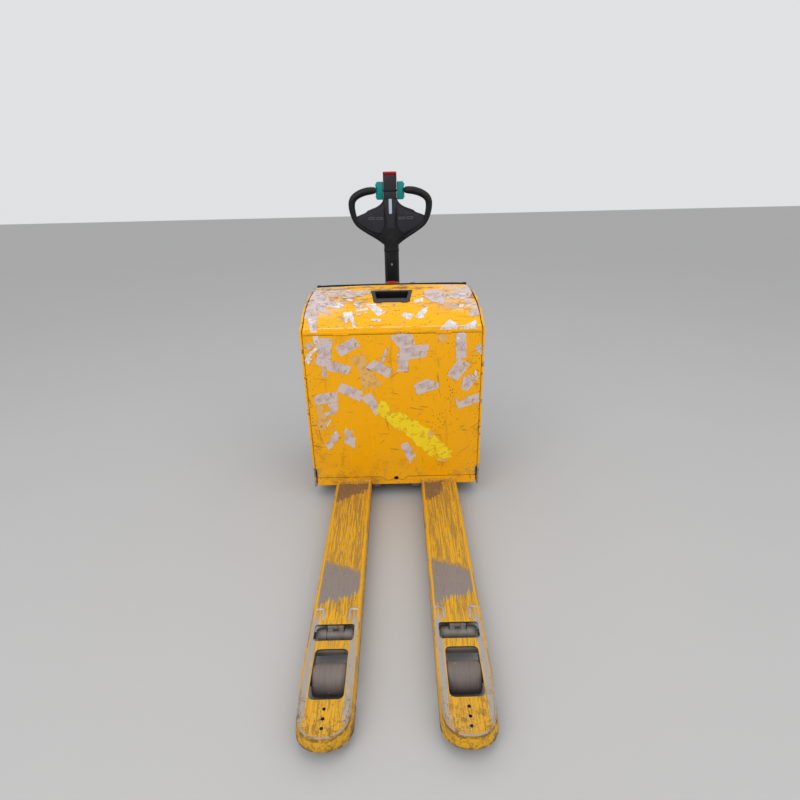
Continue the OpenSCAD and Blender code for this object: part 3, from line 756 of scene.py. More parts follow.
MATERIALS = {
    "panel": panel_paint(),
    "lid": lid_paint(),
    "side": side_paint(),
    "fork": fork_paint(),
    "steel": bare_steel(),
    "weld": bare_steel("weld_bead", (0.42, 0.41, 0.42), 0.4, 0.5),
    "roller": roller_material(),
    "black": moulded("black_plastic", (0.013, 0.013, 0.015), 0.58),
    "inlay": moulded("inlay_plastic", (0.019, 0.019, 0.024), 0.52),
    "handle": moulded("handle_grip", (0.006, 0.006, 0.007), 0.40, 0.0001, 0.05),
    "cup": moulded("cup_plastic", (0.050, 0.046, 0.046), 0.6),
    # Painted shade: flat deep black laid into gaps, a bolt hole, the snout's groove and the grip's deep slot
    # so they read as shadow
    "painted_shade": moulded("painted_shade_black", (0.003, 0.003, 0.003), 0.9, 0.0, 0.0),
    "teal": moulded("teal_plastic", (0.0, 0.215, 0.205), 0.34, 0.00006, 0.10, (0.03, 0.28, 0.26)),
    "red": moulded("red_plastic", (0.32, 0.008, 0.016), 0.42, 0.00006, 0.12, (0.40, 0.07, 0.07)),
    "strip": moulded("pale_strip", (0.42, 0.48, 0.56), 0.35, 0.00004, 0.1, (0.33, 0.36, 0.4)),
    "pink": paper("label_pinkish", (0.61, 0.50, 0.49), 0.6),
    "white": paper("label_white", (0.80, 0.735, 0.74), 0.35),
    "tan": tape("tan_tape", (0.72, 0.41, 0.13), 0.5, (0.58, 0.30, 0.06)),
    "lemon": tape("lemon_tape", (0.87, 0.63, 0.015), 0.5, (0.66, 0.34, 0.01)),
    # Near-black grimy steel: real grime, and painted shade inside the forks and on the plate under their
    # noses
    "grime": moulded("grime_and_shade_steel", (0.022, 0.018, 0.015), 0.8, 0.0004, 0.3, (0.06, 0.045, 0.035)),
    "grey": moulded("grey_plastic", (0.11, 0.11, 0.115), 0.5),
    "amber": moulded("amber_plastic", (0.80, 0.46, 0.02), 0.4),
    "tank": moulded("milky_plastic", (0.62, 0.60, 0.54), 0.4),
    "battery": moulded("battery_plastic", (0.035, 0.035, 0.04), 0.5),
    "dark_steel": metal("dark_frame", (0.05, 0.05, 0.052), 0.5),
    "cast": metal("cast_iron", (0.16, 0.16, 0.165), 0.6, 0.0004),
    "chrome": metal("chrome_rod", (0.75, 0.75, 0.77), 0.12, 0.00002),
    "alloy": metal("cast_alloy", (0.45, 0.46, 0.48), 0.42),
    "tyre": rubber("black_rubber"),
    "cable": rubber("red_cable", (0.30, 0.02, 0.02)),
    "screen": moulded("dark_screen", (0.01, 0.014, 0.016), 0.12, 0.00001, 0.03),
}


# ---------- Battery box ----------

# Depth behind the panel's face and height of the lid's skin, in millimetres
LID_LINE = [(0, 752.5), (0, 766), (1.5, 775), (6, 784), (14, 795), (30, 812.5), (48, 827), (70, 840.5),
            (95, 852.5), (120, 862), (160, 873.5), (200, 882), (218, 885), (228, 886)]
# Height and half width over the side plates: they lean in and round over at the top
SIDE_LINE = [(0, 360), (762, 360), (776, 357.5), (790, 354), (812, 351.5), (835, 348.5), (852, 344),
             (866, 338.5), (878, 331), (886, 324)]
LID_GAP = 1.6 * MM
BOLT_Z = 94 * MM
# Height where the side plates begin to lean in
LEAN_START = 0.762


def side_at(z):
    return interpolate(SIDE_LINE, z / MM) * MM


def lid_skin_points():
    return [Vector((PANEL_FRONT + t * MM, z * MM)) for t, z in LID_LINE]


def front_panel():
    low, tab, top = PANEL_BOTTOM + 0.0016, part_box("front_panel")[0][2], SEAM_Z - 0.0030
    outer, slot, slot_top, tab_half = 0.350, 0.345, low + 0.0385, 0.0899
    outline = [(-slot, low), (-tab_half, low), (-tab_half, tab), (tab_half, tab), (tab_half, low),
               (slot, low), (slot, slot_top), (outer, slot_top), (outer, top), (-outer, top),
               (-outer, slot_top), (-slot, slot_top)]
    corners = [0.003, 0.0, 0.002, 0.002, 0.0, 0.003, 0.0, 0.0, 0.003, 0.003, 0.0, 0.0]
    hole = circle(0.0, BOLT_Z, 0.0095, 24)
    obj = plate("front_panel_skin", [rounded_loop(outline, corners), hole], PANEL_FRONT,
                PANEL_FRONT + 0.006, "xz", 0.0012)
    place(obj, "panel", "load_frame", "yellow_paint", "front_panel")
    # Painted shade: flat black bars fill the gaps above and below the panel, a black plug sits deep in the
    # bolt hole and a thin black line runs along the tab, so they read as shadowed gaps
    near, far, end = PANEL_FRONT + 0.0006, PANEL_FRONT + 0.0056, 0.349
    seam_shade_pieces = [block("seal", (-end, near, z), (end, far, z + 0.006), 0.0004)
             for z in (SEAM_Z - 0.004, PANEL_BOTTOM - 0.002)]
    seam_shade_pieces.append(revolve("plug", [(0.0030, 0.0093), (0.0040, 0.0093), (0.0058, 0.0080)],
                         (0, PANEL_FRONT, BOLT_Z), "y", 24))
    tab_line = [(-90, 102.3), (-68, 101.5), (-54, 93), (-42, 84.8), (-27, 85), (-13, 90), (0, 92), (13, 90),
                (27, 86), (38, 91), (50, 101), (62, 102.3), (90, 102.3)]
    path = smooth_path([(x * MM, PANEL_FRONT + 0.0001, z * MM) for x, z in tab_line], 5)
    section = ((0, 0.0011), (-0.0004, 0.0004), (-0.0004, -0.0004), (0, -0.0011))
    rows = [[p + Vector((0, y, z)) for y, z in section] for p in path]
    seam_shade_pieces.append(grid("tab_line", rows, caps=True))
    place(join("panel_seam_shade", seam_shade_pieces), "painted_shade", "load_frame", "black_plastic")


def side_plate(side, word):
    name = "side_plate_skin_" + word
    outline = [(PANEL_FRONT, BODY_LOW), (PANEL_FRONT, LEAN_START)]
    outline += [(p.x, p.y) for p in lid_skin_points()[2:-1]]
    outline += [(BODY_BACK, LID_TOP), (BODY_BACK, BODY_LOW)]
    radii = [0.006] + [0.0] * (len(outline) - 3) + [0.004, 0.01]
    obj = plate(name, [rounded_loop(outline, radii)], BODY_HALF - PLATE_T, BODY_HALF, "yz", 0.0022)
    bm = to_bmesh(obj.data)
    for k in range(26):
        cut(bm, (0, 0, LEAN_START + 0.005 * k), (0, 0, 1))
    for vert in bm.verts:
        vert.co.x = side * (vert.co.x - BODY_HALF + side_at(vert.co.z))
    bmesh.ops.recalc_face_normals(bm, faces=bm.faces)
    obj.data = new_mesh(name, bm)
    shade(obj, 24)
    place(obj, "side", "load_frame", "yellow_paint", "side_plate_" + word)


CUP_MIDDLE = (PANEL_FRONT + 0.130, 0.8645)
CUP_SLOPE = math.radians(17.8)
CUP_HALF_DEPTH = 0.044
CUP_NARROW, CUP_WIDE = 0.070, 0.085


def cup_half_width(along):
    """Half width of the grip's trapezoid at a distance along the slope from its middle."""
    share = (along + CUP_HALF_DEPTH) / (2 * CUP_HALF_DEPTH)
    return CUP_NARROW + (CUP_WIDE - CUP_NARROW) * share


def lid_crown(x, depth):
    """Small rise of the lid's top towards its middle."""
    return 0.006 * smoothstep(0.02, 0.16, depth) * (1 - (x / 0.34) ** 2)


def lid():
    line = smooth_path(lid_skin_points(), 4)
    reach = CUP_HALF_DEPTH * math.cos(CUP_SLOPE)
    edges = (CUP_MIDDLE[0] - reach, CUP_MIDDLE[0] + reach)
    samples = [p for p in line if min(abs(p.x - e) for e in edges) > 0.003]
    for edge in edges:
        pairs = list(zip(line, line[1:]))
        a, b = next((a, b) for a, b in pairs if a.x <= edge <= b.x and b.x > a.x)
        samples.append(a.lerp(b, (edge - a.x) / (b.x - a.x)))
    samples.sort(key=lambda p: (p.x, p.y))
    columns = 15
    rows = []
    inside = []
    for p in samples:
        half = side_at(p.y) - PLATE_T - LID_GAP
        along = (p.x - CUP_MIDDLE[0]) / math.cos(CUP_SLOPE)
        hole = cup_half_width(max(-CUP_HALF_DEPTH, min(CUP_HALF_DEPTH, along))) + 0.001
        outer = [half - (half - hole) * k / columns for k in range(columns)]
        xs = [half - 0.0006, half - 0.0028, *outer[1:], hole, hole / 3]
        drops = [0.0058, 0.0012] + [0.0] * columns + [0.0]
        depth = p.x - PANEL_FRONT
        right = [Vector((half - 0.0006, p.x, p.y - 0.011))]
        right += [Vector((x, p.x, p.y - d + lid_crown(x, depth))) for x, d in zip(xs, drops)]
        left = [Vector((-q.x, q.y, q.z)) for q in reversed(right)]
        rows.append(right + left)
        inside.append(edges[0] - 1e-5 <= p.x <= edges[1] + 1e-5)
    back = rows[-1]
    for step, (run, fall) in enumerate([(0.0035, 0.0012), (0.005, 0.005), (0.005, 0.013)]):
        rows.append([Vector((q.x * (1 - 0.002 * step), q.y + run, q.z - fall)) for q in back])
        inside.append(False)
    bm = bmesh.new()
    verts = [[bm.verts.new(q) for q in row] for row in rows]
    width = len(rows[0])
    gap = range(columns + 2, width - columns - 3)
    for r in range(len(rows) - 1):
        for c in range(width - 1):
            if c in gap and inside[r] and inside[r + 1]:
                continue
            bm.faces.new((verts[r][c], verts[r][c + 1], verts[r + 1][c + 1], verts[r + 1][c]))
    obj = from_bmesh("lid_skin", bm, 28)
    solidify(obj, 0.003)
    bevel(obj, 0.0009, 2, 50)
    apply_modifiers(obj)
    shade(obj, 28)
    place(obj, "lid", "lid", "yellow_paint", "lid_shell")


def cup_outline(shrink, front, back, radius):
    """The grip's trapezoid between two places along the slope, shrunk on both sides."""
    return trapezoid(cup_half_width(front) - shrink, cup_half_width(back) - shrink, front, back, radius)


def grip_cup():
    deep, near = CUP_HALF_DEPTH, -CUP_HALF_DEPTH
    outline = [(-0.068, near - 0.004), (-0.040, near - 0.004), (-0.033, near + 0.003), (0.033, near + 0.003),
               (0.040, near - 0.004), (0.068, near - 0.004), (0.086, deep), (-0.086, deep)]
    radii = [0.012, 0.003, 0.004, 0.004, 0.003, 0.012, 0.008, 0.008]
    opening = cup_outline(0.015, near + 0.012, deep - 0.006, 0.007)
    rim = plate("cup_rim", [rounded_loop(outline, radii, 6), opening], -0.004, 0.0045, "xy", 0.002)
    # Section along the slope: back wall, floor of the deep slot, then the lip rising to the front
    section = [(deep - 0.005, 0.001), (deep - 0.006, -0.012), (deep - 0.008, -0.026), (0.004, -0.028),
               (0.001, -0.013), (-0.004, -0.0055), (-0.016, -0.0035), (near + 0.011, -0.001)]
    rows = []
    for along, height in section:
        half = cup_half_width(along) - 0.014
        rows.append([Vector((half * s, along, height)) for s in (-1, -0.97, -0.5, 0, 0.5, 0.97, 1)])
    # Painted shade: the deep slot's floor and end walls are flat black, the front lip keeps the cup's
    # plastic
    floor = coated(grid("cup_floor", rows, smooth_angle=50), "painted_shade", "cup")
    for face in floor.data.polygons:
        face.material_index = 1 if face.center.y < 0.0025 else 0
    walls = []
    for end in (0, -1):
        bm = bmesh.new()
        edge = [bm.verts.new(row[end]) for row in rows]
        top = [bm.verts.new((v.co.x, v.co.y, 0.001)) for v in edge]
        for i in range(len(edge) - 1):
            bm.faces.new((edge[i], edge[i + 1], top[i + 1], top[i]))
        bmesh.ops.remove_doubles(bm, verts=bm.verts, dist=1e-5)
        walls.append(coated(from_bmesh("cup_wall", bm), "painted_shade"))
    cup = join("grip_cup", [coated(rim, "cup"), floor, *walls])
    transform(cup, Matrix.Translation((0, *CUP_MIDDLE)) @ Matrix.Rotation(CUP_SLOPE, 4, "X"))
    solidify(cup, 0.0012)
    place(cup, None, "lid", "black_plastic", "lid_grip_cup")


front_panel()
for side, word in SIDES:
    side_plate(side, word)
lid()
grip_cup()


# ---------- Torn labels and tapes ----------

def profile_track():
    """Distance up the lid's profile, with the depth and height reached there."""
    points = smooth_path(lid_skin_points(), 4)
    track, run = [(0.0, points[0])], 0.0
    for a, b in zip(points, points[1:]):
        if (b - a).length > 1e-6:
            run += (b - a).length
            track.append((run, b))
    return track


LID_TRACK = profile_track()


def on_lid(x, distance, lift):
    here = interpolate(LID_TRACK, distance)
    ahead = interpolate(LID_TRACK, distance + 0.002) - interpolate(LID_TRACK, distance - 0.002)
    ahead.normalize()
    limit = side_at(here.y) - PLATE_T - LID_GAP - 0.002
    crown = lid_crown(x, here.x - PANEL_FRONT)
    return Vector((max(-limit, min(limit, x)), here.x - ahead.y * lift, here.y + ahead.x * lift + crown))


def on_panel(x, z, lift):
    return Vector((max(-0.351, min(0.351, x)), PANEL_FRONT - lift, z))


# How far a torn edge strays, in millimetres
TEAR = 1.6


def sheet(corners, spot, level, curl):
    """A thin ragged piece of paper laid on a surface.

    corners are millimetres across and up the surface; spot turns those and a lift into a place.
    """
    outline = []
    for a, b in zip(corners, corners[1:] + corners[:1]):
        a, b = Vector(a), Vector(b)
        steps = max(1, round((b - a).length / 7))
        for k in range(steps):
            wobble = (RNG.uniform(-TEAR, TEAR), RNG.uniform(-TEAR, TEAR)) if k else (0, 0)
            outline.append(a.lerp(b, k / steps) + Vector(wobble))
    bm = bmesh.new()
    bm.faces.new([bm.verts.new((*p, 0)) for p in outline])
    bmesh.ops.triangulate(bm, faces=bm.faces)
    for axis, normal in enumerate(((1, 0, 0), (0, 1, 0))):
        values = [p[axis] for p in outline]
        for k in range(math.ceil(min(values) / 10), math.floor(max(values) / 10) + 1):
            cut(bm, [10 * k * n for n in normal], normal)
    middle = sum((Vector(c) for c in corners), Vector((0, 0))) / len(corners)
    along = (Vector(corners[1]) - Vector(corners[0])).normalized()
    uv = bm.loops.layers.uv.new("sheet")
    for face in bm.faces:
        for loop in face.loops:
            away = loop.vert.co.to_2d() - middle
            loop[uv].uv = (away.dot(along) / 100, away.dot(Vector((-along.y, along.x))) / 100)
    loose = Vector(RNG.choice(corners))
    for vert in bm.verts:
        flat = vert.co.to_2d()
        lift = 0.45 + 0.2 * level + 0.35 * noise.noise(Vector((flat.x / 13, flat.y / 13, level)))
        lift += curl * smoothstep(20, 0, (flat - loose).length)
        vert.co = spot(flat.x * MM, flat.y * MM, lift * MM)
    obj = from_bmesh("sheet", bm, 60)
    solidify(obj, 0.00025, 0)
    return obj


def scraps(count, x_range, s_range, sizes):
    """Small torn leftovers scattered over an area, as (finish, corners)."""
    result = []
    for _ in range(count):
        centre = Vector((RNG.uniform(*x_range), RNG.uniform(*s_range)))
        size, turn, long = RNG.uniform(*sizes), RNG.uniform(-0.5, 0.5), RNG.uniform(1.0, 2.6)
        corners = []
        for k in range(RNG.randint(5, 8)):
            angle = 2 * math.pi * k / 7
            reach = size * RNG.uniform(0.5, 1.1)
            corners.append(tuple(centre + Matrix.Rotation(turn, 2) @ Vector((
                reach * long * math.cos(angle), reach * 0.7 * math.sin(angle)))))
        result.append((RNG.choice(("pink", "pink", "white")), corners))
    return result


# Each sheet's finish, then its corners: millimetres across and height on the panel
PANEL_SHEETS = """
pink -225,700 -150,740 -125,705 -205,660
pink -300,730 -270,740 -235,735 -240,690 -250,628 -278,622 -310,632 -296,680
pink -345,706 -330,722 -305,716 -312,700 -330,692 white -350,650 -336,668 -318,655 -334,630
white -345,668 -300,702 -294,694 -338,655 white -312,749 -289,749 -283,718 -303,715
pink -265,650 -165,620 -180,585 -265,605 pink -284,620 -272,620 -262,575 -284,578
tan -175,655 -110,670 -105,630 -85,590 -90,535 -125,515 -140,605 tan -85,585 -40,540 -90,520
pink -110,615 -75,645 -5,605 -20,565 pink -50,640 -28,690 -15,698 -34,640 -60,622
pink -10,742 40,750 78,745 88,706 60,690 25,692 pink 80,700 145,706 130,652 60,640 15,660 28,690
pink 28,655 58,650 62,596 10,590 24,612 12,636 pink 245,742 288,742 290,645 250,640
white 252,748 282,748 286,725 250,722 pink 215,572 258,642 308,622 258,548
pink 320,680 340,705 351,690 351,655 pink 80,535 135,560 185,540 180,518 95,490
pink 278,540 284,566 296,560 300,576 312,560 322,578 332,562 344,566 338,548 326,546 318,530 310,514 294,500
274,512 white 322,578 328,592 336,578 332,566
pink 250,468 262,470 264,452 292,466 298,478 345,490 350,454 264,422
pink -230,515 -210,550 -125,510 -140,465 pink -135,480 -95,505 -68,452 -55,415 -80,400 -100,440
pink -325,488 -312,500 -230,512 -230,466 -325,455
pink -272,458 -230,465 -232,430 -250,408 -268,410 -288,398 -292,416 -262,430
tan -325,452 -302,455 -285,440 -296,418 -280,400 -262,386 -290,360 -284,340 -318,338 -328,360 -318,396
white -262,388 -288,366 -284,350 -276,362 pink -268,348 -248,344 -252,340
pink -300,270 -280,285 -266,312 -250,326 -232,312 -236,290 -258,282 -262,262 -284,242 -290,258
white -258,328 -246,332 -238,318 -252,318
pink -220,278 -208,302 -214,330 -206,348 -192,330 -172,334 -176,322 -190,318 -168,300 -172,246
pink 22,258 52,274 62,250 74,244 66,228 90,206 74,196 62,164
lemon -78,420 -52,470 -34,462 -22,440 -16,412 34,414 52,398 66,380 96,372 104,356 126,340 148,330 158,312
176,290 214,250 246,222 226,214 242,196 206,188 184,178 160,196 140,206 112,240 92,250 70,288 52,300 34,320
2,338 -24,368 -56,398 tan 138,322 152,330 164,318 160,296 146,292 136,304
tan 178,196 206,210 226,190 214,170 188,174 tan 172,745 215,742 220,728 196,706 176,722
"""
# The same on the lid, the second number being the distance up its surface
LID_SHEETS = """
white -325,67 -296,67 -289,2 -312,2 pink -340,170 -315,240 -255,190 -240,140 -265,130 -290,170
pink -325,135 -300,190 -265,125 -240,85 -275,95 pink -340,120 -300,125 -285,65 -345,65
pink -330,60 -290,65 -290,25 -320,30 white -105,135 -65,130 -25,85 -55,70
white -190,90 -155,95 -140,25 -150,25 -166,66 -180,35 white -80,60 -40,55 -45,45 -80,50
white 35,70 50,85 85,75 70,50 white 90,65 115,95 145,110 125,60 105,55
white 90,150 125,160 125,135 90,135 pink 130,215 180,230 220,200 205,125 165,135 135,160
white 180,10 225,50 260,25 245,5 210,5 white 260,15 325,45 330,2 265,5 pink 300,90 335,95 345,65 305,60
pink 215,190 270,210 320,190 310,160 245,155 pink -275,240 -205,240 -165,210 -200,190 -255,205
pink -215,220 -120,230 -100,195 -170,175 pink -120,230 -85,230 -90,190 -115,195
white -220,140 -200,145 -185,125 -210,110 white -140,105 -95,110 -90,100 -140,95
"""


def sheets_in(table):
    """(finish, corners) of each sheet in a table such as PANEL_SHEETS."""
    sheets = []
    for word in table.split():
        if word.isalpha():
            sheets.append((word, []))
        else:
            across, up = word.split(",")
            sheets[-1][1].append((int(across), int(up)))
    return sheets


def labels():
    """The listed sheets and scattered scraps, joined into one piece for each surface and finish."""
    lid_sheets = sheets_in(LID_SHEETS)
    for area in ((26, (-325, -120), (120, 238), (6, 15)), (24, (120, 325), (105, 238), (6, 15)),
                 (14, (-150, 130), (75, 130), (3, 8)), (9, (-330, -60), (20, 70), (3, 8))):
        lid_sheets += scraps(*area)
    panel_sheets = sheets_in(PANEL_SHEETS)
    for area in ((16, (-340, -160), (570, 735), (3, 7)), (8, (230, 345), (480, 735), (3, 7))):
        panel_sheets += scraps(*area)
    for where, sheets, spot, body in (("panel", panel_sheets, on_panel, "load_frame"),
                                      ("lid", lid_sheets, on_lid, "lid")):
        for finish in sorted({f for f, _ in sheets}):
            curl = 0.0 if finish in ("tan", "lemon") else 1.8
            pieces = [sheet(corners, spot, i % 4, curl) for i, (kind, corners) in enumerate(sheets)
                      if kind == finish]
            obj = join(where + "_sheets_" + finish, pieces)
            shade(obj, 60)
            place(obj, finish, body, "grey_plastic")


RNG = random.Random(11)
labels()


# ---------- Forks and load wheels ----------

NOSE_R = 0.070
FORK_BACK = FORK_HIGH[1]
FORK_FOOT = FORK_LOW[2]
DECK_T = 0.006
WINDOW_HALF, WINDOW_Y = 0.047, (-0.743, -0.587)
SMALL_HALF, SMALL_Y = 0.059, (-0.558, -0.499)
HOLES_Y = (-0.769, -0.795, -0.820)
# Width and height of the ribs and weld marks on the deck
BEAD_SIZE = (0.0085, 0.0026)


def fork_outline(side_inset, nose_inset):
    """One fork's plan round x = 0: left heel, round nose, right heel; the inset grows towards the nose."""
    nose_y = TIP_Y + NOSE_R
    flat = FORK_HALF - NOSE_R
    down = [FORK_BACK + (nose_y - FORK_BACK) * k / 12 for k in range(12)]
    # Each point with the direction out of the fork there
    points = [(-FORK_HALF, y, -1.0, 0.0) for y in down]
    for k in range(19):
        angle = math.pi * (1 + k / 18)
        c, s = math.cos(angle), math.sin(angle)
        points.append((NOSE_R * c + flat * ((k > 9) - (k < 9)), nose_y + NOSE_R * s, c, s))
    points += [(FORK_HALF, y, 1.0, 0.0) for y in reversed(down)]
    result = []
    for x, y, out_x, out_y in points:
        inset = side_inset + (nose_inset - side_inset) * smoothstep(TIP_Y + 0.13, TIP_Y + 0.045, y)
        result.append((x - out_x * inset, y - out_y * inset))
    return result


def bead(name, points, width, height):
    """A rounded bead lying on a level surface along 3D points."""
    path = smooth_path(points, 5)
    rows = []
    for i, point in enumerate(path):
        ahead, behind = path[min(i + 1, len(path) - 1)], path[max(i - 1, 0)]
        along = (ahead - behind).normalized()
        across = Vector((-along.y, along.x, 0)).normalized()
        end = min(i, len(path) - 1 - i)
        swell = min(1.0, 0.35 + 0.35 * end) * (1 + 0.22 * noise.noise(point * 160))
        rows.append([point + across * (math.cos(a) * width / 2 * swell)
                     + Vector((0, 0, math.sin(a) * height * swell - 0.0006))
                     for a in (math.pi * k / 5 for k in range(6))])
    return grid(name, rows, caps=True, smooth_angle=70)


def fork(side, word):
    name = "fork_" + word + "_shell"
    openings = [rectangle(-WINDOW_HALF, WINDOW_HALF, *WINDOW_Y, 0.017, 6),
                rectangle(-SMALL_HALF, SMALL_HALF, *SMALL_Y, 0.011, 6)]
    openings += [circle(0.0, y, 0.0045, 20) for y in HOLES_Y]
    low = FORK_TOP - DECK_T
    deck = plate("deck", [fork_outline(0.0040, 0.0140), *openings], low, FORK_TOP - 0.0006, "xy", 0.0009)
    # Side wall and nose: depth inside the outline on the sides and at the nose, and height
    section = [(0.0046, 0.0150, FORK_TOP - 0.0022), (0.0040, 0.0142, FORK_TOP - 0.0004),
               (0.0032, 0.0128, FORK_TOP + 0.0010), (0.0020, 0.0112, FORK_TOP + 0.0008),
               (0.0008, 0.0098, FORK_TOP - 0.0010), (0.0001, 0.0084, FORK_TOP - 0.0050),
               (0.0, 0.0052, 0.066), (0.0, 0.0022, 0.052), (0.0, 0.0006, 0.038),
               (0.0002, 0.0002, FORK_FOOT + 0.001), (0.0012, 0.0012, FORK_FOOT),
               (0.0045, 0.0045, FORK_FOOT + 0.0003), (0.0050, 0.0060, 0.050), (0.0050, 0.0150, low + 0.001)]
    rows = []
    for side_inset, nose_inset, z in section:
        lift = 0.013 * smoothstep(0.055, FORK_FOOT, z)
        rows.append([Vector((x, y, z + lift * max(0.0, 1 - (y - TIP_Y) / 0.061)))
                     for x, y in fork_outline(side_inset, nose_inset)])
    skirt = grid("skirt", rows, smooth_angle=50)
    ring = len(rows[0]) - 1
    # Down-facing deck faces and the skirt's inner rows take the near-black grimy steel: grime and painted
    # shade, so the channel reads dark through the windows
    for piece in (deck, skirt):
        coated(piece, "fork", "grime")
    for face in deck.data.polygons:
        face.material_index = int(face.normal.z < 0.6 and face.center.z < FORK_TOP - 0.0015)
    for face in skirt.data.polygons:
        face.material_index = int(face.index // ring >= 9)
    top = FORK_TOP - 0.0004
    rib_line = ((0.053, -0.762), (0.043, -0.786), (0.030, -0.813))
    ribs = [coated(bead("rib", [(s * x, y, top) for x, y in rib_line], *BEAD_SIZE), "fork") for s in (-1, 1)]
    obj = join(name, [deck, skirt, *ribs])
    for vert in obj.data.vertices:
        wave = noise.noise(Vector((vert.co.x * 16, vert.co.y * 9, vert.co.z * 16 + side)))
        vert.co.z += 0.0009 * wave if vert.co.z > 0.04 else 0.0
        vert.co.x += 0.0005 * noise.noise(Vector((vert.co.y * 14, vert.co.z * 20, side))) + side * FORK_X
    shade(obj, 40)
    place(obj, None, "load_frame", "yellow_paint", "fork_" + word)
    middle = side * FORK_X
    hook = ((0.069, -0.4425), (0.056, -0.4385), (0.0435, -0.4410), (0.0405, -0.4600), (0.0395, -0.4850))
    welds = [bead("mark", [(middle + s * x, y, FORK_TOP - 0.0002) for x, y in hook], *BEAD_SIZE)
             for s in (-1, 1)]
    weld = join(name + "_weld_marks", welds)
    shade(weld, 70)
    place(weld, "weld", "load_frame", "machined_steel")
    # Painted shade: a dark plate under the nose, which the real fork lacks, hides the lit floor seen through
    # the window so it reads as shadow
    nose_shade_plate = plate(name + "_nose_shade_plate", [rectangle(middle - 0.0690, middle + 0.0690, -0.775, -0.702, 0.004)],
                0.0262, 0.0300, "xy", 0.001)
    place(nose_shade_plate, "grime", "load_frame", "machined_steel")
    heel = [(middle + x, PANEL_FRONT - 0.0015, FORK_TOP - 0.001) for x in (-0.074, -0.04, 0.0, 0.04, 0.074)]
    seam = bead(name + "_heel_weld", heel, 0.009, 0.0050)
    place(seam, "fork", "load_frame", "yellow_paint")


def load_roller(side, word):
    name = "load_roller_" + word
    half = (ROLLER_HIGH[0] - ROLLER_LOW[0]) / 2
    radius = (ROLLER_HIGH[2] - ROLLER_LOW[2]) / 2
    centre = (side * FORK_X, (ROLLER_LOW[1] + ROLLER_HIGH[1]) / 2, radius)
    # Distance in from the end face and radius, for the hub and for the tread's rounded side
    hub_side = [(0.003, 0.0102), (0, 0.0118), (0, 0.0215), (0.004, 0.0225), (0.004, 0.0285),
                (0.0015, 0.0295), (0.0015, 0.0335)]
    tread_side = [(0.0015, 0.0325), (0.0010, 0.0370), (0.0022, 0.0396), (0.0050, 0.0414), (0.009, radius)]
    grooves = []
    for k in range(-5, 6):
        x = k * 0.0052
        grooves += [(x - 0.0020, radius), (x - 0.0004, radius - 0.0004), (x + 0.0004, radius - 0.0004),
                    (x + 0.0020, radius)]
    parts = []
    for part, line, middle, steps, angle, finish in (("tread", tread_side, grooves, 72, 40, "roller"),
                                                     ("hub", hub_side, [], 48, 35, "steel")):
        profile = [(-half + a, r) for a, r in line]
        profile += middle + [(-a, r) for a, r in reversed(profile)]
        parts.append(coated(revolve(part, profile, (0, 0, 0), "x", steps, angle), finish))
    obj = transform(join(name + "_wheel", parts), Matrix.Translation(centre))
    shade(obj, 35)
    place(obj, None, "load_wheel_" + word, "roller_tyre", name)


for side, word in SIDES:
    fork(side, word)
    load_roller(side, word)


# ---------- Tiller ----------

# Height and half width of the head's front outline, in millimetres
HEAD_LINE = [(1000, 33), (1016, 33.5), (1028, 38), (1040, 49), (1054, 70), (1068, 94), (1084, 120),
             (1100, 143), (1112, 157), (1120, 163), (1130, 161), (1140, 152), (1148, 132), (1155, 112),
             (1162, 105), (1168, 92), (1176, 68), (1184, 52), (1194, 40), (1204, 33), (1214, 30)]


# Height of the two button frames on each wing, and of the head's shoulder under the snout
BARS_Z = 1.131
SHOULDER_Z = 1.2135


def head_half_width(z):
    return interpolate(HEAD_LINE, z / MM) * MM


def head_depth(x):
    """Half depth of the head: a thick spine with thinner wings."""
    return 0.0115 + 0.0125 * smoothstep(0.085, 0.018, abs(x))


def head_front(x, z):
    """Y of the head's front surface."""
    share = min(1.0, abs(x) / head_half_width(z))
    return ARM_Y - head_depth(x) * (1 - share ** 3.64) ** 0.275


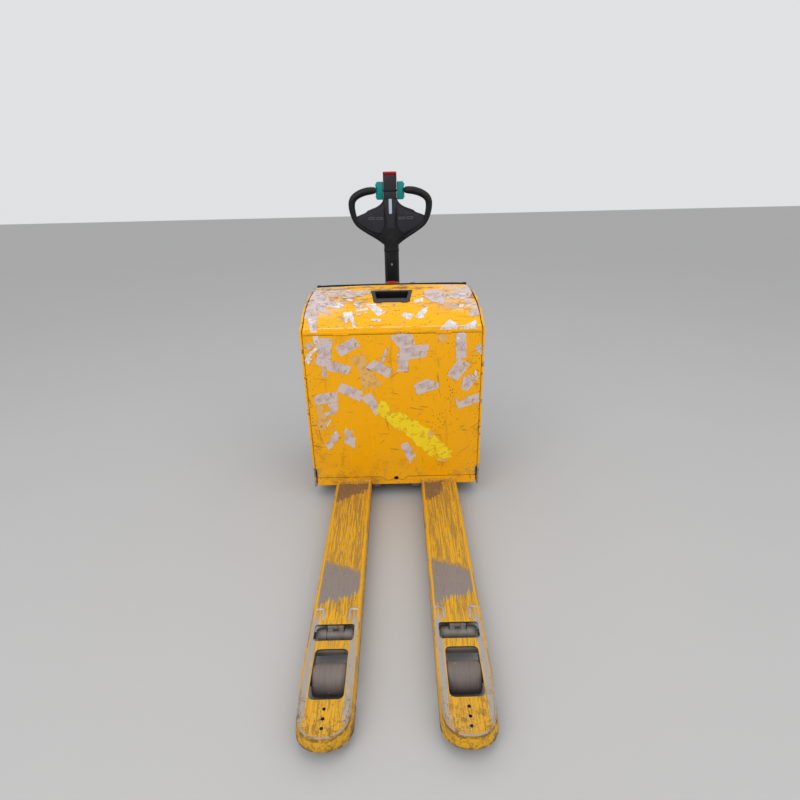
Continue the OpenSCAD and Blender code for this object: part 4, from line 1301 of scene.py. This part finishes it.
def tiller_head():
    rows = []
    for k in range(55):
        z = HEAD_LOW[2] + (HEAD_HIGH[2] - HEAD_LOW[2]) * k / 54
        ring = []
        for c, s in circle(0.0, 0.0, 1.0, 64):
            x = head_half_width(z) * math.copysign(abs(c) ** 0.55, c)
            ring.append(Vector((x, ARM_Y + head_depth(x) * math.copysign(abs(s) ** 0.55, s), z)))
        rows.append(ring)
    body = grid("head_body", rows, wrap=True, caps=True, smooth_angle=50)
    place(body, "handle", "tiller", "handle_plastic", "head_shell")
    # Lower and upper edge of the right wing's inlay: distance from the middle and height, in millimetres
    low = [(28, 1107), (34, 1089), (44, 1070), (58, 1065.5), (82, 1074), (106, 1086), (128, 1100),
           (140, 1110), (147, 1121)]
    high = [(28, 1190), (36, 1186), (51, 1176), (70, 1166), (98, 1153.5), (124, 1142), (140, 1133),
            (147, 1127)]
    inlays, bars = [], []
    for side in (-1, 1):
        rows = []
        for k in range(31):
            x = 28 + 119 * k / 30
            z0, z1 = interpolate(low, x), interpolate(high, x)
            column = []
            for i in range(17):
                z = z0 + (z1 - z0) * i / 16
                proud = 0.0006 * (0 < i < 16 and 0 < k < 30)
                column.append(Vector((side * x * MM, head_front(x * MM, z * MM) - 0.0004 - proud, z * MM)))
            rows.append(column)
        inlay = grid("inlay", rows, smooth_angle=60)
        solidify(inlay, 0.0016)
        inlays.append(inlay)
        for x0, x1 in ((0.034, 0.064), (0.070, 0.100)):
            outer = rectangle(x0, x1, 1.1265, 1.1365, 0.004)
            inner = rectangle(x0 + 0.0024, x1 - 0.0024, 1.1289, 1.1341, 0.002)
            bar = plate("bar", [outer, inner], -0.0026, 0.0022, "xz", 0.0007)
            middle = Vector(((x0 + x1) / 2, 0, BARS_Z))
            tilt = math.atan2(head_front(x1, BARS_Z) - head_front(x0, BARS_Z), x1 - x0)
            spot = middle + Vector((0, head_front(middle.x, BARS_Z) - 0.001, 0))
            turn = Matrix.Translation(spot) @ Matrix.Rotation(tilt, 4, "Z") @ Matrix.Translation(-middle)
            bars.append(transform(bar, Matrix.Diagonal((side, 1, 1, 1)) @ turn))
    place(join("head_inlays", inlays), "inlay", "tiller", "handle_plastic")
    frames = join("head_button_frames", bars)
    bm = to_bmesh(frames.data)
    bmesh.ops.recalc_face_normals(bm, faces=bm.faces)
    bm.to_mesh(frames.data)
    bm.free()
    shade(frames, 40)
    place(frames, "grey", "tiller", "handle_plastic")
    section = [(0.5, 0.35), (0.62, 0.85), (0.9, 1.0), (1.0, 0.3), (1.08, -0.004)]
    section = [(-u, v) for u, v in reversed(section)] + [(0, 0.3)] + section
    rows = []
    for k in range(25):
        t = k / 24
        z = SHOULDER_Z - 0.125 * t
        half = 0.0295 - 0.0135 * smoothstep(0.0, 0.9, t)
        lift = 0.0030 * smoothstep(1.0, 0.7, t)
        rows.append([Vector((half * u, head_front(half * u, z) - lift * v, z)) for u, v in section])
    place(grid("head_spine", rows, smooth_angle=40), "inlay", "tiller", "handle_plastic")
    front = head_front(0, 1.18)
    strip = plate("pale_strip", [rectangle(-0.007, 0.007, 1.150, 1.2125, 0.0045, 6)], front - 0.0030,
                  front + 0.004, "xz", 0.0012)
    place(strip, "strip", "tiller", "grey_plastic")


def handle_loops():
    # Distance from the middle, height and radius of the right grip, in millimetres
    path = [(74, 1247, 14.6), (86, 1246, 15.8), (107, 1243, 16.2), (134, 1234.5, 16.0),
            (157, 1220.5, 15.6), (169, 1203, 15.2), (171.5, 1182, 14.4), (168.5, 1158, 13.6),
            (162, 1134, 12.4), (153, 1115, 11.4), (141, 1100, 10.4), (112, 1079, 9.8), (78, 1058, 9.4),
            (50, 1040, 9.4), (30, 1024, 9.0)]
    tubes = []
    fine = smooth_path(path, 7)
    for side in (-1, 1):
        tubes.append(tube("loop", [(side * p.x * MM, ARM_Y, p.y * MM) for p in fine],
                          [p.z * MM for p in fine], 24))
    place(join("handle_loops", tubes), "handle", "tiller", "handle_plastic", "handle_loop")


def snout():
    front, back = ARM_Y - 0.026, ARM_Y + 0.026
    groove = 1.2435
    cap = TILLER_TOP - 0.0165
    outline = rectangle(-0.029, 0.029, front, back, 0.008, 6)
    throat = rectangle(-0.021, 0.021, front + 0.008, back - 0.008, 0.003, 3)
    mark = rectangle(-0.0085, 0.0085, 1.2270, 1.2330, 0.0025)
    parts = [plate("upper", [outline, throat], groove + 0.0018, cap, "xy", 0.0016),
             plate("lower", [outline], HEAD_HIGH[2] - 0.002, groove - 0.0018, "xy", 0.0016),
             plate("mark", [mark], front - 0.0006, front + 0.002, "xz", 0.0004)]
    place(join("snout_shell", parts), "inlay", "tiller", "handle_plastic", "snout_housing")
    # Painted shade: a flat black plate fills the bottom of the groove round the snout
    waist = plate("snout_groove_shade", [rectangle(-0.0272, 0.0272, front + 0.0012, back - 0.0012, 0.006)],
                  groove - 0.004, groove + 0.004, "xy", 0.0004)
    place(waist, "painted_shade", "tiller", "handle_plastic")
    wide = trapezoid(0.0295, 0.0305, front - 0.0005, back + 0.004, 0.011)
    lid_part = plate("cap", [wide], TILLER_TOP - 0.0105, TILLER_TOP, "xy", 0.0050)
    skirt = block("skirt", (-0.0300, back + 0.0006, TILLER_TOP - 0.040),
                  (0.0300, back + 0.0040, TILLER_TOP - 0.004), 0.0015, 2)
    stem = block("stem", (-0.0203, front + 0.0087, TILLER_TOP - 0.026),
                 (0.0203, back - 0.0087, TILLER_TOP - 0.009), 0.001, 2)
    place(join("reverse_cap", [lid_part, skirt, stem]), "red", "belly_button", "red_plastic",
          "reverse_button")


def thumb_wheel_pair():
    tall = (WHEELS_HIGH[2] - WHEELS_LOW[2]) / 2
    quarter = [(0.0085, tall), (0.0105, 0.030), (0.0135, 0.010)]
    base = [(-y, -z) for y, z in reversed(quarter)] + [(y, -z) for y, z in quarter]
    base += [(y, z) for y, z in reversed(quarter)] + [(-y, z) for y, z in quarter]
    base = rounded_loop(base, 0.006, 4)
    sections = [(0.0, 0.80), (0.0005, 0.90), (0.002, 0.97), (0.005, 1.0), (0.014, 1.0), (0.0155, 0.985),
                (0.017, 1.0), (0.0215, 1.0), (0.023, 0.985), (0.0245, 1.0), (0.033, 1.0), (0.036, 0.97),
                (0.0374, 0.90), (0.038, 0.80)]
    wheels = []
    for side in (-1, 1):
        rows = []
        for along, scale in sections:
            row = []
            for y, z in base:
                high = min(1.0, abs(z) / tall)
                waist = 1 - 0.38 * (1 - high ** 1.5) - 0.22 * smoothstep(0.78, 1.0, high)
                row.append(Vector((side * (0.0301 + along * waist), ARM_Y + y * scale, THUMB_Z + z * scale)))
            rows.append(row)
        wheels.append(grid("wheel", rows, wrap=True, caps=True, smooth_angle=50))
    wheels.append(revolve("shaft", [(-0.033, 0.004), (0.033, 0.004)], (0, ARM_Y, THUMB_Z), "x", 20))
    place(join("thumb_wheel_pair", wheels), "teal", "thumb_switch", "teal_plastic", "thumb_wheels")


def arm_details():
    """Collar at the arm's top, the screw below it and the hose clip line down its back."""
    half_x, half_y = (ARM_HIGH[0] - ARM_LOW[0]) / 2, (ARM_HIGH[1] - ARM_LOW[1]) / 2
    out = 0.0012
    ring = rectangle(-half_x - out, half_x + out, ARM_Y - half_y - out, ARM_Y + half_y + out, 0.013, 6)
    collar = plate("arm_collar", [ring], HEAD_LOW[2] - 0.012, HEAD_LOW[2] - 0.001, "xy", 0.002)
    place(collar, "handle", "tiller", "handle_plastic")
    screw = revolve("arm_screw", [(-0.0028, 0.002), (-0.0026, 0.0038), (-0.0010, 0.0050), (0.002, 0.0050)],
                    (0, ARM_Y - half_y, 0.930), "y", 24)
    place(screw, "steel", "tiller", "machined_steel")
    back = ARM_Y + half_y
    cover = block("arm_cable_cover", (-0.011, back - 0.002, 0.50), (0.011, back + 0.0045, 0.985), 0.0022, 3)
    place(cover, "black", "tiller", "black_plastic")


tiller_head()
handle_loops()
snout()
thumb_wheel_pair()
arm_details()


# ---------- Hood and chassis details ----------

HOOD_LOW, HOOD_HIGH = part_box("hood_tower")
KEY_LOW, KEY_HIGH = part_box("ignition_key")


def hood_seal():
    """Black rubber seal along the hood's front top edge, with its end plugs."""
    y, z = HOOD_LOW[1] + 0.003, HOOD_HIGH[2] + 0.0028
    line = [(x, y, z - 0.004 * (abs(x) / 0.31) ** 6) for x in (-0.312, -0.25, -0.1, 0.1, 0.25, 0.312)]
    parts = [tube("seal", smooth_path(line, 6), 0.0034, 12)]
    plug = [(-0.009, 0.003), (-0.007, 0.006), (0.007, 0.006), (0.009, 0.003)]
    for side in (-1, 1):
        parts.append(revolve("plug", plug, (side * 0.306, y, z - 0.004), "x", 20, 30))
    place(join("hood_seal", parts), "black", "chassis", "black_plastic")


def key():
    """Key with a flat bow, standing in the console's switch."""
    x, y = (KEY_LOW[0] + KEY_HIGH[0]) / 2, (KEY_LOW[1] + KEY_HIGH[1]) / 2
    low, high = KEY_LOW[2], min(KEY_HIGH[2], HOOD_HIGH[2] - 0.002)
    profile = [(low, 0.0045), (low + 0.003, 0.0050), (low + 0.010, 0.0050), (low + 0.011, 0.0040)]
    barrel = revolve("barrel", profile, (x, y, 0), "z", 20)
    middle = low + (high - low) * 0.62
    tall = high - middle
    bow = trapezoid(0.008, 0.010, middle - tall, middle + tall, 0.004, 6, x)
    hole = circle(x, middle + tall * 0.5, 0.002, 16)
    flat = plate("bow", [bow, hole], y - 0.0014, y + 0.0014, "xz", 0.0006)
    place(join("key_body", [barrel, flat]), "alloy", "key", "machined_steel", "ignition_key")


hood_seal()
key()


# ---------- Finishes of the CAD nodes that stay ----------

FINISHES = {
    "black": "skirt_cover hood_tower console_panel motor_cover battery_tray",
    "dark_steel": "chassis_frame tiller_yoke",
    "steel": "slewing_ring lift_bracket arm_pivot_pins tiller_pivot_pin caster_fork wheel_arm push_rod "
             "rocker hood_screws",
    "panel": "heel_beam back_wall lid_hinge_lower lid_hinge_upper",
    "fork": "fork",
    "chrome": "lift_piston_rod ignition_key",
    "cast": "gearbox drive_hub lift_cylinder hydraulic_pump drive_motor",
    "tank": "hydraulic_tank",
    "cable": "battery_cables",
    "battery": "battery_case",
    "alloy": "motor_controller",
    "tyre": "drive_tyre caster_wheel hydraulic_hose",
    "amber": "estop_collar horn_button",
    "grey": "lift_button lower_button",
    "roller": "load_roller",
    "handle": "handle_loop tiller_arm",
    "inlay": "head_shell snout_housing",
    "teal": "thumb_wheels",
    "red": "reverse_button estop_knob",
}
# Edge rounding of the larger plain nodes
SOFTENED = {
    0.0005: "horn_button lift_button lower_button estop_collar",
    0.0008: "heel_beam chassis_frame caster_fork wheel_arm",
    0.001: "back_wall tiller_yoke battery_case",
    0.0015: "console_panel",
    0.002: "gearbox",
    0.003: "skirt_cover tiller_arm motor_cover",
    0.004: "hood_tower",
}


def nodes_in(text):
    """The CAD nodes named in a text; a name without a node of its own stands for its left and right ones."""
    for name in text.split():
        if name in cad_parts:
            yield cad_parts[name]
        else:
            for _, word in SIDES:
                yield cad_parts[name + "_" + word]


def finish_cad_nodes():
    for finish, names in FINISHES.items():
        for obj in nodes_in(names):
            if not obj.hide_render:
                obj.data.materials.clear()
                coated(obj, finish)
    for width, names in SOFTENED.items():
        for obj in nodes_in(names):
            if not obj.hide_render:
                obj.modifiers.new("Weld", "WELD").merge_threshold = 1e-5
                bevel(obj, width, 3, 40)


finish_cad_nodes()


# ---------- Floor, light and camera ----------

def stage():
    bpy.ops.mesh.primitive_plane_add(size=30, location=(0, 0, 0))
    floor = bpy.context.object
    floor.name = "floor"
    paint = Paint("pale_floor", (0.47, 0.465, 0.46), 0.6)
    paint.vary(0.02, 1.5, 3.0)
    floor.data.materials.append(paint.finish())
    world = bpy.data.worlds.new("studio")
    bpy.context.scene.world = world
    world.use_nodes = True
    bpy.context.scene.view_settings.view_transform = "Standard"
    background = world.node_tree.nodes["Background"]
    background.inputs["Color"].default_value = (0.97, 0.98, 1.0, 1)
    background.inputs["Strength"].default_value = 0.77
    for name, where, size, power in (("key", (-1.8, -3.0, 3.4), 3.4, 68),
                                     ("fill", (2.6, -2.4, 3.0), 3.4, 35), ("top", (0.2, 0.4, 4.0), 4.0, 27)):
        light = bpy.data.lights.new(name, "AREA")
        light.energy = power
        light.size = size
        obj = add_object(name, light)
        obj.location = where
        obj.rotation_euler = (Vector((0, 0, 0.5)) - Vector(where)).to_track_quat("-Z", "Y").to_euler()


def camera():
    yaw, down, roll = 0.177, 24.05, -1.359
    data = bpy.data.cameras.new("camera")
    data.sensor_width = 36
    data.lens = 23.54
    obj = add_object("camera", data)
    turn = Matrix.Identity(4)
    for degrees, axis in ((yaw, "Z"), (90 - down, "X"), (roll, "Z")):
        turn = turn @ Matrix.Rotation(math.radians(degrees), 4, axis)
    obj.matrix_world = Matrix.Translation((0.030, PANEL_FRONT - 1.956, 1.341)) @ turn
    bpy.context.scene.camera = obj


stage()
camera()
